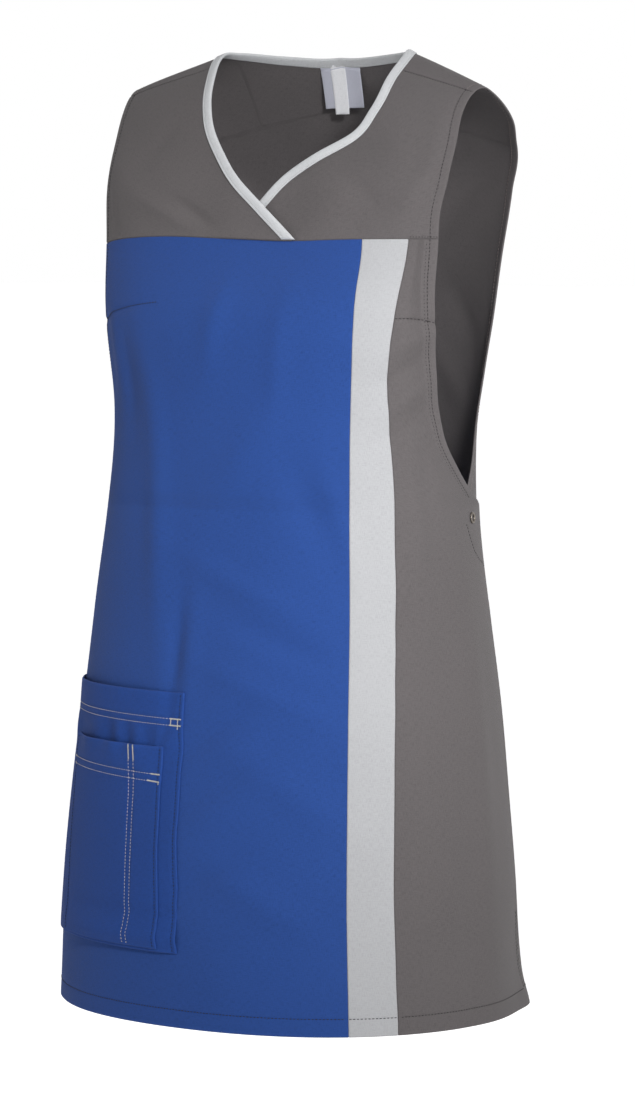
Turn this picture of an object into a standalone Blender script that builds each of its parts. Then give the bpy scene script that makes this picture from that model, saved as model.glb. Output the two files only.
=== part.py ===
"""Tabard apron, sleeveless, in the hollow shape it has when worn.

The garment is cut from one form: horizontal rings from the hem to the shoulder ridge. A place on the
form is an angle in degrees (0 centre front, + towards the wearer's left, 180 centre back) and a level
(0 at the hem ring, 1 at the next one up, and so on). Every panel is a piece of that form between its
pattern lines, and what lies on a panel is made from the same places, moved out along the form's normal.
Sizes here are millimetres; the objects are in metres, +Z up, front towards -Y, wearer's left at +X.
"""

import math

import bmesh
import bpy
import numpy as np

MM = 0.001

# Cloth and sewing sizes, mm
CLOTH = 1.0            # wall of the body panels
POCKET_CLOTH = 1.0
BINDING_CLOTH = 1.0
BINDING_WIDTH = 10.0
LABEL_CLOTH = 1.0
SEAM_GAP = 0.5         # clear space between two pieces that are sewn edge to edge
CLEAR = 0.3            # clear space between two pieces that lie on each other
BINDING_CLEAR = 0.65   # clear space between the cloth and each leaf of the binding
EDGE_INSET = 2.4       # a bound edge stops this far inside the binding's fold

# The form: one row for each ring, from the hem to the ridge of the shoulders.
# height and drop are of the ring's middle and how far its sides fall below it; side_y is where its
# widest points lie; front and back are its reach from there; front_square and back_square say how
# square the ring is (2 an ellipse, more squarer); forward is how far its sides lean to the front.
RING_COLUMNS = ("height", "half_width", "side_y", "front", "back",
                "front_square", "back_square", "drop", "forward")
RINGS = (
    # hem
    (-797, 200, -42, 168, 168, 2.2, 2.2, 0, 0),
    # thigh
    (-690, 193, -45, 161, 161, 2.2, 2.2, 0, 0),
    # hip
    (-570, 183, -44, 148, 148, 2.2, 2.2, 0, 0),
    # high hip
    (-470, 172, -44, 132, 132, 2.2, 2.2, 0, 0),
    # underarm
    (-382, 162, -42, 119, 119, 2.25, 2.2, 0, 0),
    # rib
    (-300, 160, -35, 112, 113, 2.3, 2.25, 0, 0),
    # bust
    (-222, 171, -28, 112, 106, 2.5, 2.4, 0, 0),
    # yoke seam
    (-157, 182, -18, 87, 98, 2.8, 2.7, 0, 0),
    # chest
    (-108, 188, -10, 82, 89, 3.0, 3.4, 10, 0),
    # collar bone
    (-55, 190, -4, 70, 67, 3.0, 5.0, 40, 4),
    # neck slope
    (-10, 190, 0, 52, 42, 3.0, 5.0, 63, 8),
    # shoulder arch
    (17, 190, 2, 28, 21, 3.0, 4.0, 71, 10),
    # ridge
    (27, 190, 2, 0, 0, 3.0, 3.0, 72, 12),
)
DROP_CURVE = 1.2       # how the drop grows towards the ring's sides
RIDGE = len(RINGS) - 1
YOKE_LEVEL = 7.0

# Pattern lines on the form
SIDE_ANGLE = 113.0                  # side seams, where front meets back
LAP_ANGLE = 95.0                    # the back reaches this far under the front at the side opening
LAP_LEVEL = 3.46                    # bottom of the side opening
CORNER_LEVEL = 4.05                 # top corner of the front's side edge
SLIT_LEVEL = 0.75                   # top of the hem slits
SHOULDER_SEAM_NECK = 10.8           # level of the shoulder seam at the neck
SHOULDER_SEAM_TIP = 11.25           # and at the armhole
SEAM_STEP = 0.01                    # the panels stop this part of a level short of a level seam

# Armhole edges: level, then the angle of the front and back edge on the wearer's left and right
ARMHOLE_COLUMNS = ("level", "front_left", "front_right", "back_left", "back_right")
ARMHOLE = (
    (4.20, 98.0, 98.0, 98.0, 98.0),
    (4.45, 86.0, 86.0, 106.0, 106.0),
    (4.70, 77.5, 77.5, 112.0, 112.0),
    (4.95, 73.0, 73.0, 115.5, 115.5),
    (5.45, 67.0, 67.0, 119.0, 119.0),
    (5.95, 62.0, 62.5, 122.5, 122.5),
    (6.50, 56.0, 60.0, 127.0, 127.0),
    (7.20, 50.5, 58.0, 131.5, 131.5),
    (8.20, 49.3, 56.0, 136.0, 135.5),
    (9.40, 49.0, 55.5, 135.0, 132.0),
    (10.40, 48.2, 56.0, 130.5, 126.5),
    (11.20, 48.5, 56.0, 130.5, 125.0),
    (12.00, 50.0, 55.0, 130.0, 125.0),
)

# Stripe edges: level, then the angle of its edge towards the middle and towards the side
STRIPE_COLUMNS = ("level", "inner", "outer")
STRIPE = (
    (0.0, 39.3, 51.8),
    (1.0, 39.6, 52.0),
    (2.2, 40.0, 53.3),
    (2.9, 40.4, 54.2),
    (3.6, 40.4, 55.1),
    (4.35, 39.7, 54.2),
    (4.75, 38.9, 52.3),
    (5.15, 38.0, 49.8),
    (5.55, 37.0, 48.2),
    (6.0, 35.4, 47.2),
    (6.45, 33.1, 45.5),
    (7.0, 30.2, 42.7),
)

# Neckline, which is the fold of the binding: level, then the angle on each front
NECK_FRONT_COLUMNS = ("level", "right", "left")
NECK_FRONT = (
    (7.0, 12.5, -8.0),
    (7.3, 6.5, -4.6),
    (7.68, -0.4, 0.0),
    (8.1, -7.5, 5.8),
    (8.46, -12.0, 13.5),
    (8.9, -16.2, 21.5),
    (9.5, -19.4, 25.0),
    (10.4, -21.8, 26.2),
    (11.2, -23.7, 26.8),
    (11.6, -24.4, 27.0),
    (12.0, -24.5, 26.7),
)
# and round the back neck: angle, then level
NECK_BACK_COLUMNS = ("angle", "level")
NECK_BACK = (
    (153.3, 12.0),
    (154.3, 11.74),
    (156.2, 11.47),
    (160.0, 11.13),
    (164.2, 10.82),
    (170.0, 10.48),
    (176.0, 10.24),
    (180.0, 10.17),
    (185.0, 10.25),
    (191.0, 10.53),
    (197.9, 11.04),
    (201.6, 11.46),
    (203.5, 11.74),
    (204.5, 12.0),
)
BACK_NECK_ANGLES = (153.3, 154.2, 155.6, 157.8, 160.4, 164.0, 169.0, 174.5, 180.0, 185.5, 190.8, 195.2,
                    198.7, 201.0, 202.6, 203.7, 204.5)

# Patch pockets on the wearer's right: levels of bottom and top edge, and angles of the edges
# towards the middle and the side, at the bottom and at the top
BIG_POCKET = {"bottom": 0.575, "top": 2.41, "inner": (-3.9, -5.9), "outer": (-65.0, -66.0)}
SMALL_POCKET = {"bottom": 0.60, "top": 1.985, "inner": (-9.9, -10.9), "outer": (-46.5, -51.0)}

# Darts: level and angle of the end at the armhole and of the point
DART_RIGHT = {"armhole": (5.95, -62.5), "point": (6.17, -25.8)}
DART_LEFT = {"armhole": (5.96, 62.0), "point": (6.01, 47.2)}
DART_DEPTH = 1.0

# Press studs at the top of the side openings
STUD = {"level": 3.95, "angle": 98.0, "radius": 4.8, "hole": 2.7, "height": 1.2}

# Levels of the rows that the skirt of every panel shares, hem to side opening, and the rows above it
SKIRT_LEVELS = (0, 0.25, SLIT_LEVEL, 1.2, 1.7, 2.2, 2.7, 3.1, LAP_LEVEL)
NECK_LEVELS = (YOKE_LEVEL + SEAM_STEP, 7.25, 7.5, 7.7, 7.9, 8.1, 8.25, 8.4, 8.55, 8.7, 8.9, 9.15, 9.5,
               9.9, 10.35, SHOULDER_SEAM_NECK - SEAM_STEP)
# Levels of the rows over the shoulder: from the blades to the ridge, and from there to the front seam
BLADE_LEVELS = (9.2, 9.85, 10.45, 10.9, 11.25, 11.6, 12.0)
ARCH_LEVELS = (11.8, 11.55, 11.2, SHOULDER_SEAM_NECK + SEAM_STEP)
UNDERARM_LEVELS = (3.75, CORNER_LEVEL, 4.12, 4.20, 4.32, 4.45, 4.58, 4.70, 4.82, 4.95)
CHEST_LEVELS = (5.2, 5.45, 5.7, 5.9, 5.96, 6.02, 6.2, 6.5, 6.75)


# ---------------------------------------------------------------- the form

def ring_at(level):
    """The form's ring at any level, as a dictionary of RING_COLUMNS, smooth through the rows."""
    rows = np.array(RINGS, dtype=float)
    below_hem = 2 * rows[0] - rows[1]
    past_ridge = rows[-2].copy()
    for name in ("front", "back"):
        past_ridge[RING_COLUMNS.index(name)] *= -1
    rows = np.vstack([below_hem, rows, past_ridge])
    start = min(max(int(math.floor(level)), 0), RIDGE - 1)
    part = level - start
    p0, p1, p2, p3 = rows[start:start + 4]
    ring = 0.5 * (2 * p1 + (p2 - p0) * part
                  + (2 * p0 - 5 * p1 + 4 * p2 - p3) * part ** 2
                  + (3 * p1 - p0 - 3 * p2 + p3) * part ** 3)
    return dict(zip(RING_COLUMNS, ring))


def on_form(angle, level):
    """The place on the form, mm. Levels past the ridge run down the front of the shoulder."""
    if level > RIDGE:
        angle = 180 - angle
        level = 2 * RIDGE - level
    ring = ring_at(level)
    across = math.sin(math.radians(angle))
    ahead = math.cos(math.radians(angle))
    half = "front" if ahead >= 0 else "back"
    square = ring[half + "_square"]
    reach = (abs(across) ** square + abs(ahead) ** square) ** (1 / square)
    across /= reach
    ahead /= reach
    return np.array([
        ring["half_width"] * across,
        ring["side_y"] - ring[half] * ahead - ring["forward"] * across ** 2,
        ring["height"] - ring["drop"] * abs(across) ** DROP_CURVE,
    ])


def normal_at(angle, level):
    """Unit normal of the form, pointing out of the garment."""
    step = 0.02
    round_form = on_form(angle + 1, level) - on_form(angle - 1, level)
    up_form = on_form(angle, level + step) - on_form(angle, level - step)
    normal = np.cross(round_form, up_form)
    return normal / np.linalg.norm(normal)


def moved_out(angle, level, out):
    """The place on the form, moved out by a distance in mm."""
    return on_form(angle, level) + out * normal_at(angle, level)


def look_up(table, columns, key, name, at):
    """The value of a table's column at a key, on a smooth curve through the rows."""
    keys = np.array([row[columns.index(key)] for row in table], dtype=float)
    values = np.array([row[columns.index(name)] for row in table], dtype=float)
    slopes = np.gradient(values, keys)
    at = min(max(at, keys[0]), keys[-1])
    i = min(max(int(np.searchsorted(keys, at)) - 1, 0), len(keys) - 2)
    width = keys[i + 1] - keys[i]
    t = (at - keys[i]) / width
    return float(values[i] * (1 + 2 * t) * (1 - t) ** 2 + values[i + 1] * t * t * (3 - 2 * t)
                 + width * (slopes[i] * t * (1 - t) ** 2 - slopes[i + 1] * t * t * (1 - t)))


def armhole(column, level):
    return look_up(ARMHOLE, ARMHOLE_COLUMNS, "level", column, level)


def stripe_edge(column, level):
    return look_up(STRIPE, STRIPE_COLUMNS, "level", column, level)


def neck_front(side, level):
    return look_up(NECK_FRONT, NECK_FRONT_COLUMNS, "level", side, level)


def neck_back(angle):
    return look_up(NECK_BACK, NECK_BACK_COLUMNS, "angle", "level", angle)


def between(start, end, part):
    return start + (end - start) * part


def ease(value, start, end):
    """0 at start, 1 at end, smooth in between."""
    t = min(max((value - start) / (end - start), 0.0), 1.0)
    return t * t * (3 - 2 * t)


def degrees_of(length, level):
    """The angle that a length in mm takes on the form's side at a level."""
    ring = ring_at(min(level, 8.0))
    return math.degrees(length / (0.5 * (ring["half_width"] + ring["front"])))


# ---------------------------------------------------------------- folds and laps

def skirt_out(angle, level):
    """Soft drape of the skirt: shallow flutes that grow to the hem, and hem corners that kick out."""
    flute = 1.6 * math.sin(math.radians(angle * 4 + 30)) * ease(level, 3.0, 0.0)
    corner = math.exp(-((abs(angle) - SIDE_ANGLE) / 7.0) ** 2) * ease(level, SLIT_LEVEL, 0.0)
    return flute + 4.0 * corner


def dart_out(dart, angle, level):
    """The shallow crease of a dart, deepest at the armhole."""
    (end_level, end_angle), (point_level, point_angle) = dart["armhole"], dart["point"]
    along = (angle - point_angle) / (end_angle - point_angle)
    if along <= 0 or along > 1.05:
        return 0.0
    line = between(point_level, end_level, along)
    return -DART_DEPTH * ease(along, 0.0, 0.5) * ease(abs(level - line), 0.06, 0.0)


def bust_fold_out(angle, level):
    """Soft fold that runs down from the dart beside the wearer's right armhole."""
    ridge_angle = -45.0
    along = ease(level, 4.9, 5.5) * ease(level, 6.3, 5.8)
    ridge = math.exp(-((angle - ridge_angle) / 5.0) ** 2)
    hollow = math.exp(-((angle - ridge_angle + 10.0) / 5.0) ** 2)
    return (1.5 * ridge - 2.0 * hollow) * along


def yoke_out(side, angle, level):
    """How far a front yoke is lifted (right) or pressed in (left) where the two cross."""
    if side == "right":
        along = between(0.6, 1.0, ease(level, 7.0, 7.5)) * ease(level, 8.9, 8.0)
        return 2.6 * ease(angle, -17.0, -6.0) * along
    return -2.6 * ease(angle, 17.0, 7.0) * ease(level, 8.7, 8.0)


def lap_out(angle, level):
    """How far the back is pressed in where the front laps over it at the side openings."""
    from_side = abs(180 - angle)
    under_front = ease(from_side, 180 - SIDE_ANGLE - 12.0, 180 - SIDE_ANGLE - 2.0)
    return -3.2 * under_front * ease(level, 3.1, LAP_LEVEL) * ease(level, 5.4, 4.6)


def front_out(angle, level):
    out = skirt_out(angle, level)
    if angle < 0:
        return out + dart_out(DART_RIGHT, angle, level) + bust_fold_out(angle, level)
    return out + dart_out(DART_LEFT, angle, level)


def back_out(angle, level):
    round_angle = angle if angle <= 180 else angle - 360
    return skirt_out(round_angle, level) + lap_out(angle, level)


# ---------------------------------------------------------------- solids

def fabric(name, colour, roughness=0.85, metallic=0.0):
    material = bpy.data.materials.new(name)
    material.use_nodes = True
    shader = material.node_tree.nodes["Principled BSDF"]
    shader.inputs["Base Color"].default_value = (*colour, 1.0)
    shader.inputs["Roughness"].default_value = roughness
    shader.inputs["Metallic"].default_value = metallic
    return material


def add_object(name, mesh, material):
    mesh.materials.append(material)
    piece = bpy.data.objects.new(name, mesh)
    bpy.context.scene.collection.objects.link(piece)
    return piece


def sheet(name, patches, cloth, material):
    """A cloth wall round grids of places, mm. Grids that share an edge become one sheet."""
    built = bmesh.new()
    for grid in patches:
        rows = [[built.verts.new(place * MM) for place in row] for row in grid]
        for low, high in zip(rows, rows[1:]):
            for i in range(len(low) - 1):
                built.faces.new((low[i], low[i + 1], high[i + 1], high[i]))
    bmesh.ops.remove_doubles(built, verts=built.verts, dist=0.02 * MM)
    mesh = bpy.data.meshes.new(name)
    built.to_mesh(mesh)
    built.free()
    mesh.shade_smooth()
    piece = add_object(name, mesh, material)
    wall = piece.modifiers.new("Wall", "SOLIDIFY")
    wall.thickness = cloth * MM
    wall.offset = 0.0
    wall.use_even_offset = True
    wall.use_quality_normals = True
    return piece


def swept(name, sections, material):
    """A closed solid through equal sections, mm, with both ends filled."""
    built = bmesh.new()
    rings = [[built.verts.new(place * MM) for place in section] for section in sections]
    count = len(rings[0])
    for low, high in zip(rings, rings[1:]):
        for i in range(count):
            j = (i + 1) % count
            built.faces.new((low[i], low[j], high[j], high[i]))
    built.faces.new(rings[0])
    built.faces.new(rings[-1])
    bmesh.ops.recalc_face_normals(built, faces=built.faces)
    mesh = bpy.data.meshes.new(name)
    built.to_mesh(mesh)
    built.free()
    mesh.shade_smooth()
    mesh.set_sharp_from_angle(angle=math.radians(40))
    return add_object(name, mesh, material)


# ---------------------------------------------------------------- the neckline

def neck_cloth(part, angle, level):
    """The cloth beside the neckline: the back, or a front yoke with its lift."""
    lift = 0.0 if part == "back" else yoke_out(part, angle, level)
    return moved_out(angle, level, lift)


def cloth_frame(part, angle, level):
    """A place on that cloth, its two directions (per degree and per level) and its normal."""
    turn, step = 0.5, 0.02
    round_cloth = (neck_cloth(part, angle + turn, level) - neck_cloth(part, angle - turn, level)) / (2 * turn)
    up_cloth = (neck_cloth(part, angle, level + step) - neck_cloth(part, angle, level - step)) / (2 * step)
    normal = np.cross(round_cloth, up_cloth)
    return neck_cloth(part, angle, level), round_cloth, up_cloth, normal / np.linalg.norm(normal)


def neck_mark(part, at):
    """Angle and level on the neckline. The fronts are told by level, the back neck by angle."""
    if part == "back":
        return at, neck_back(at)
    return neck_front(part, at), at


def cloth_near(part, at, goal):
    """The place on the cloth nearest to a goal beside the neckline, and the normal there."""
    angle, level = neck_mark(part, at)
    for _ in range(5):
        place, round_cloth, up_cloth, _ = cloth_frame(part, angle, level)
        axes = np.column_stack([round_cloth, up_cloth])
        turn, rise = np.linalg.lstsq(axes, goal - place, rcond=None)[0]
        angle, level = angle + turn, level + rise
    place, _, _, normal = cloth_frame(part, angle, level)
    return place, normal


def neck_station(part, at):
    """A station of the neckline: its place, the normal there, the direction into the cloth and the
    direction along the binding, which runs up the right front and down the left."""
    place, _, _, normal = cloth_frame(part, *neck_mark(part, at))
    if part == "back" and at == BACK_NECK_ANGLES[-1]:
        ends = ("right", ARCH_LEVELS[0]), ("back", BACK_NECK_ANGLES[-2])
    elif part == "back" and at == BACK_NECK_ANGLES[0]:
        ends = ("back", BACK_NECK_ANGLES[1]), ("left", ARCH_LEVELS[0])
    else:
        step = {"right": 0.02, "back": -0.3, "left": -0.02}[part]
        ends = (part, at - step), (part, at + step)
    before, after = (neck_cloth(side, *neck_mark(side, value)) for side, value in ends)
    along = after - before
    along /= np.linalg.norm(along)
    inward = np.cross(normal, along)
    inward /= np.linalg.norm(inward)
    return place, np.cross(along, inward), inward, along


def bound_edge(part, at):
    """The place of the cloth's edge, just inside the binding's fold."""
    place, _, inward, _ = neck_station(part, at)
    return place + EDGE_INSET * inward


def make_binding(material):
    """One strip folded over the raw neck edge, with a leaf on either side of the cloth: from the
    bottom of the right front over that shoulder, round the back neck and down the left front."""
    front_levels = NECK_LEVELS[:-1] + (SHOULDER_SEAM_NECK,) + ARCH_LEVELS[-2::-1]
    stations = [("right", level) for level in front_levels]
    stations += [("back", angle) for angle in BACK_NECK_ANGLES[::-1]]
    stations += [("left", level) for level in front_levels[::-1]]
    inside = CLOTH / 2 + BINDING_CLEAR
    outside = inside + BINDING_CLOTH
    sections = []
    for part, at in stations:
        fold, normal, inward, along = neck_station(part, at)
        hem, hem_normal = cloth_near(part, at, fold + BINDING_WIDTH * inward)
        turn = fold + BINDING_CLOTH * inward
        section = [fold + normal * outside, hem + hem_normal * outside, hem + hem_normal * inside,
                   turn + normal * inside, turn - normal * inside, hem - hem_normal * inside,
                   hem - hem_normal * outside, fold - normal * outside]
        if at == front_levels[0]:
            # The strip's ends are cut level with the yoke seam.
            floor = on_form(0, at)[2]
            section = [point + along * (floor - point[2]) / along[2] for point in section]
        sections.append(section)
    return swept("neck_binding", sections, material)


# ---------------------------------------------------------------- body panels

def front_grid(levels, left_edge, right_edge, shares):
    """Places of a front panel: a row for each level, between two edges given as angles."""
    grid = []
    for level in levels:
        start, end = left_edge(level), right_edge(level)
        row = []
        for share in shares:
            angle = between(start, end, share)
            row.append(moved_out(angle, level, front_out(angle, level)))
        grid.append(row)
    return grid


def side_edge(side, level):
    """The outer edge of a front panel: side seam below the corner, armhole above it."""
    gap = degrees_of(SEAM_GAP / 2, level)
    if level <= CORNER_LEVEL:
        return SIDE_ANGLE - gap
    if level < ARMHOLE[0][0]:
        part = (level - CORNER_LEVEL) / (ARMHOLE[0][0] - CORNER_LEVEL)
        return between(SIDE_ANGLE - gap, ARMHOLE[0][1], part)
    return armhole("front_" + side, level)


def make_front_panels(blue, light, grey):
    top = YOKE_LEVEL - SEAM_STEP
    levels = SKIRT_LEVELS + UNDERARM_LEVELS + CHEST_LEVELS + (top,)

    def gap(level):
        return degrees_of(SEAM_GAP / 2, level)

    main_shares = np.linspace(0, 1, 17)
    sheet("front_main", [front_grid(
        levels,
        lambda level: -side_edge("right", level),
        lambda level: stripe_edge("inner", level) - gap(level),
        main_shares)], CLOTH, blue)
    sheet("front_stripe", [front_grid(
        levels,
        lambda level: stripe_edge("inner", level) + gap(level),
        lambda level: stripe_edge("outer", level) - gap(level),
        (0, 0.5, 1))], CLOTH, light)
    sheet("front_side", [front_grid(
        levels,
        lambda level: stripe_edge("outer", level) + gap(level),
        lambda level: side_edge("left", level),
        np.linspace(0, 1, 8))], CLOTH, grey)


def make_yoke(side, material):
    """A front yoke, from the yoke seam to the shoulder seam, bound at the neck."""
    turn = -1 if side == "right" else 1
    shares = (0.0, 0.09, 0.2, 0.34, 0.5, 0.67, 0.84, 1.0)
    tip_top = SHOULDER_SEAM_TIP - SEAM_STEP
    grid = []
    for neck_level in NECK_LEVELS:
        part = (neck_level - NECK_LEVELS[0]) / (NECK_LEVELS[-1] - NECK_LEVELS[0])
        tip_level = between(NECK_LEVELS[0], tip_top, part)
        start = neck_front(side, neck_level)
        end = turn * armhole("front_" + side, tip_level)
        row = [bound_edge(side, neck_level)]
        for share in shares[1:]:
            angle = between(start, end, share)
            level = between(neck_level, tip_level, share)
            row.append(moved_out(angle, level, yoke_out(side, angle, level)))
        grid.append(row if turn > 0 else row[::-1])
    return sheet("front_yoke_" + side, [grid], CLOTH, material)


def make_back(material):
    """The whole back: skirt, underlaps at the side openings, and straps over the shoulders."""
    lap_shares = (0.0, 0.5)
    strap_columns = 5

    def edges(level):
        left = LAP_ANGLE if level < ARMHOLE[0][0] else armhole("back_left", level)
        right = LAP_ANGLE if level < ARMHOLE[0][0] else armhole("back_right", level)
        if LAP_LEVEL < level < ARMHOLE[0][0]:
            part = (level - LAP_LEVEL) / (ARMHOLE[0][0] - LAP_LEVEL)
            left = right = between(LAP_ANGLE, ARMHOLE[0][1], part)
        return left, 360 - right

    def inner_edges(level):
        left, right = edges(level)
        inset = between(SIDE_ANGLE - LAP_ANGLE, 6.0, ease(level, LAP_LEVEL, 6.0))
        gap = degrees_of(SEAM_GAP / 2, level)
        return left + inset + gap * (level <= LAP_LEVEL), right - inset - gap * (level <= LAP_LEVEL)

    neck_left, neck_right = NECK_BACK[0][0], NECK_BACK[-1][0]
    start_left, start_right = inner_edges(BLADE_LEVELS[0])
    strap_left = (neck_left - start_left) / (start_right - start_left)
    strap_right = (neck_right - start_left) / (start_right - start_left)
    shares = np.concatenate([
        np.linspace(0, strap_left, strap_columns),
        [(angle - start_left) / (start_right - start_left) for angle in BACK_NECK_ANGLES[1:]],
        np.linspace(strap_right, 1, strap_columns)[1:],
    ])

    def place(angle, level):
        return moved_out(angle, level, back_out(angle, level))

    def body_row(level):
        left, right = inner_edges(level)
        if level < LAP_LEVEL:
            gap = degrees_of(SEAM_GAP / 2, level)
            left, right = SIDE_ANGLE + gap, 360 - SIDE_ANGLE - gap
        return [place(between(left, right, share), level) for share in shares]

    def lap_row(level, end):
        outer = edges(level)[end]
        inner = inner_edges(level)[end]
        angles = [between(outer, inner, share) for share in lap_shares + (1.0,)]
        return [place(angle, level) for angle in (angles if end == 0 else angles[::-1])]

    upper_levels = (LAP_LEVEL,) + UNDERARM_LEVELS + (5.2, 5.45, 5.95, 6.5, 7.0, 7.5, 8.0, 8.6, BLADE_LEVELS[0])
    body = [body_row(level) for level in SKIRT_LEVELS + upper_levels[1:]]
    left_lap = [lap_row(level, 0) for level in upper_levels]
    right_lap = [lap_row(level, 1) for level in upper_levels]

    # Straps, from the blades over the ridge to the shoulder seams at the front
    def strap_edge(end, level):
        side = ("left", "right")[end]
        turn = (1, -1)[end]
        if level <= RIDGE:
            return edges(level)[end]
        return 180 - turn * armhole("front_" + side, 2 * RIDGE - level)

    def strap(end):
        side = ("left", "right")[end]
        neck = (neck_left, neck_right)[end]
        grid = []
        for neck_level in BLADE_LEVELS + tuple(2 * RIDGE - level for level in ARCH_LEVELS):
            past = max(neck_level - RIDGE, 0) / (RIDGE - SHOULDER_SEAM_NECK)
            outer_level = min(neck_level, RIDGE) + past * (RIDGE - SHOULDER_SEAM_TIP)
            outer = strap_edge(end, outer_level)
            inset = (1, -1)[end] * 6.0
            row = [place(outer, outer_level), place(outer + inset / 2, outer_level)]
            edge = neck if neck_level <= RIDGE else 180 - neck_front(side, 2 * RIDGE - neck_level)
            for j in range(strap_columns):
                share = j / (strap_columns - 1)
                angle = between(outer + inset, edge, share)
                row.append(place(angle, between(outer_level, neck_level, share)))
            if neck_level == RIDGE:
                row[-1] = bound_edge("back", neck)
            elif neck_level > RIDGE:
                row[-1] = bound_edge(side, 2 * RIDGE - neck_level)
            grid.append(row if end == 0 else row[::-1])
        return grid

    # The stretch under the back neckline, whose outer columns are the straps' inner ones
    neck_part = []
    for level in BLADE_LEVELS[:-1]:
        part = (level - BLADE_LEVELS[0]) / (RIDGE - BLADE_LEVELS[0])
        row = []
        for angle in BACK_NECK_ANGLES:
            from_corner = min(angle - neck_left, neck_right - angle)
            top = neck_back(angle) - 0.12 * ease(from_corner, 0.0, 4.0)
            row.append(place(angle, between(BLADE_LEVELS[0], top, part)))
        neck_part.append(row)
    neck_part.append([bound_edge("back", angle) for angle in BACK_NECK_ANGLES])
    left_strap, right_strap = strap(0), strap(1)
    return sheet("back", [body, left_lap, right_lap, left_strap, right_strap, neck_part],
                 CLOTH, material)


# ---------------------------------------------------------------- pockets, label and studs

def pocket_place(pocket, across, up, out):
    """A place on a patch pocket: across 0 at the outer edge, 1 at the inner; up 0 bottom, 1 top."""
    level = between(pocket["bottom"], pocket["top"], up)
    outer = between(*pocket["outer"], up)
    inner = between(*pocket["inner"], up)
    angle = between(outer, inner, across)
    return moved_out(angle, level, front_out(angle, level) + out)


def big_pocket_out(across, up):
    """The pocket stands off the panel at its bottom edge and gapes a little at its mouth."""
    gape = 1.6 * math.sin(math.pi * across) * ease(up, 0.75, 1.0)
    pouch = 1.4 * ease(up, 0.25, 0.0) * ease(across, 1.0, 0.85)
    return CLOTH / 2 + 0.8 + POCKET_CLOTH / 2 + gape + pouch


def make_pocket(name, pocket, columns, rows, out, material):
    grid = []
    for i in range(rows + 1):
        grid.append([pocket_place(pocket, j / columns, i / rows, out(j / columns, i / rows))
                     for j in range(columns + 1)])
    return sheet(name, [grid], POCKET_CLOTH, material)


def make_pockets(blue):
    make_pocket("pocket_big", BIG_POCKET, 12, 12, big_pocket_out, blue)

    def small_out(across, up):
        level = between(SMALL_POCKET["bottom"], SMALL_POCKET["top"], up)
        angle = between(between(*SMALL_POCKET["outer"], up), between(*SMALL_POCKET["inner"], up), across)
        below = (level - BIG_POCKET["bottom"]) / (BIG_POCKET["top"] - BIG_POCKET["bottom"])
        outer = between(*BIG_POCKET["outer"], below)
        inner = between(*BIG_POCKET["inner"], below)
        under = big_pocket_out((angle - outer) / (inner - outer), below)
        gape = 1.2 * math.sin(math.pi * across) * ease(up, 0.7, 1.0)
        return under + POCKET_CLOTH + 0.7 + gape

    make_pocket("pocket_small", SMALL_POCKET, 8, 10, small_out, blue)


def make_label(white):
    """A bare label and the narrow hanging loop in front of it, inside the back neck."""
    def patch(name, half_angle, low, high, out, columns):
        grid = []
        for level in np.linspace(low, high, 5):
            grid.append([moved_out(180 + half_angle * (2 * j / columns - 1), level, out)
                         for j in range(columns + 1)])
        sheet(name, [grid], LABEL_CLOTH, white)

    label_out = -(CLOTH / 2 + CLEAR + LABEL_CLOTH / 2 + 0.8)
    loop_out = label_out - LABEL_CLOTH - CLEAR - 0.1
    patch("neck_label", 5.6, 9.05, 9.9, label_out, 4)
    patch("neck_loop", 1.8, 8.98, 9.9, loop_out, 2)


def make_stud(side, metal):
    """The ring cap of a press stud, on the front's side edge."""
    turn = -1 if side == "right" else 1
    angle, level = turn * STUD["angle"], STUD["level"]
    normal = normal_at(angle, level)
    foot = moved_out(angle, level, CLOTH / 2 + 0.5)
    up = on_form(angle, level + 0.02) - on_form(angle, level - 0.02)
    across = np.cross(up, normal)
    across /= np.linalg.norm(across)
    up = np.cross(normal, across)
    radius, hole, height = STUD["radius"], STUD["hole"], STUD["height"]
    edge = 0.3 * height
    profile = ((radius, 0), (radius, height - edge), (radius - edge, height),
               (hole + edge, height), (hole, height - edge), (hole, 0))
    segments = 20
    built = bmesh.new()
    rings = []
    for i in range(segments):
        turn_angle = 2 * math.pi * i / segments
        ray = across * math.cos(turn_angle) + up * math.sin(turn_angle)
        rings.append([built.verts.new((foot + ray * r + normal * h) * MM) for r, h in profile])
    for i in range(segments):
        low, high = rings[i], rings[(i + 1) % segments]
        for j in range(len(profile)):
            k = (j + 1) % len(profile)
            built.faces.new((low[j], low[k], high[k], high[j]))
    bmesh.ops.recalc_face_normals(built, faces=built.faces)
    mesh = bpy.data.meshes.new("stud_" + side)
    built.to_mesh(mesh)
    built.free()
    mesh.shade_smooth()
    mesh.set_sharp_from_angle(angle=math.radians(35))
    return add_object("stud_" + side, mesh, metal)


def main():
    for old in list(bpy.data.objects):
        bpy.data.objects.remove(old)
    grey = fabric("Grey twill", (0.125, 0.115, 0.115))
    blue = fabric("Blue twill", (0.030, 0.085, 0.300))
    light = fabric("Light grey twill", (0.540, 0.560, 0.580))
    white = fabric("Label satin", (0.700, 0.710, 0.740), roughness=0.5)
    metal = fabric("Stud metal", (0.420, 0.400, 0.370), roughness=0.35, metallic=1.0)
    make_front_panels(blue, light, grey)
    make_yoke("right", grey)
    make_yoke("left", grey)
    make_back(grey)
    make_binding(light)
    make_pockets(blue)
    make_label(white)
    make_stud("right", metal)
    make_stud("left", metal)


main()
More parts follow.
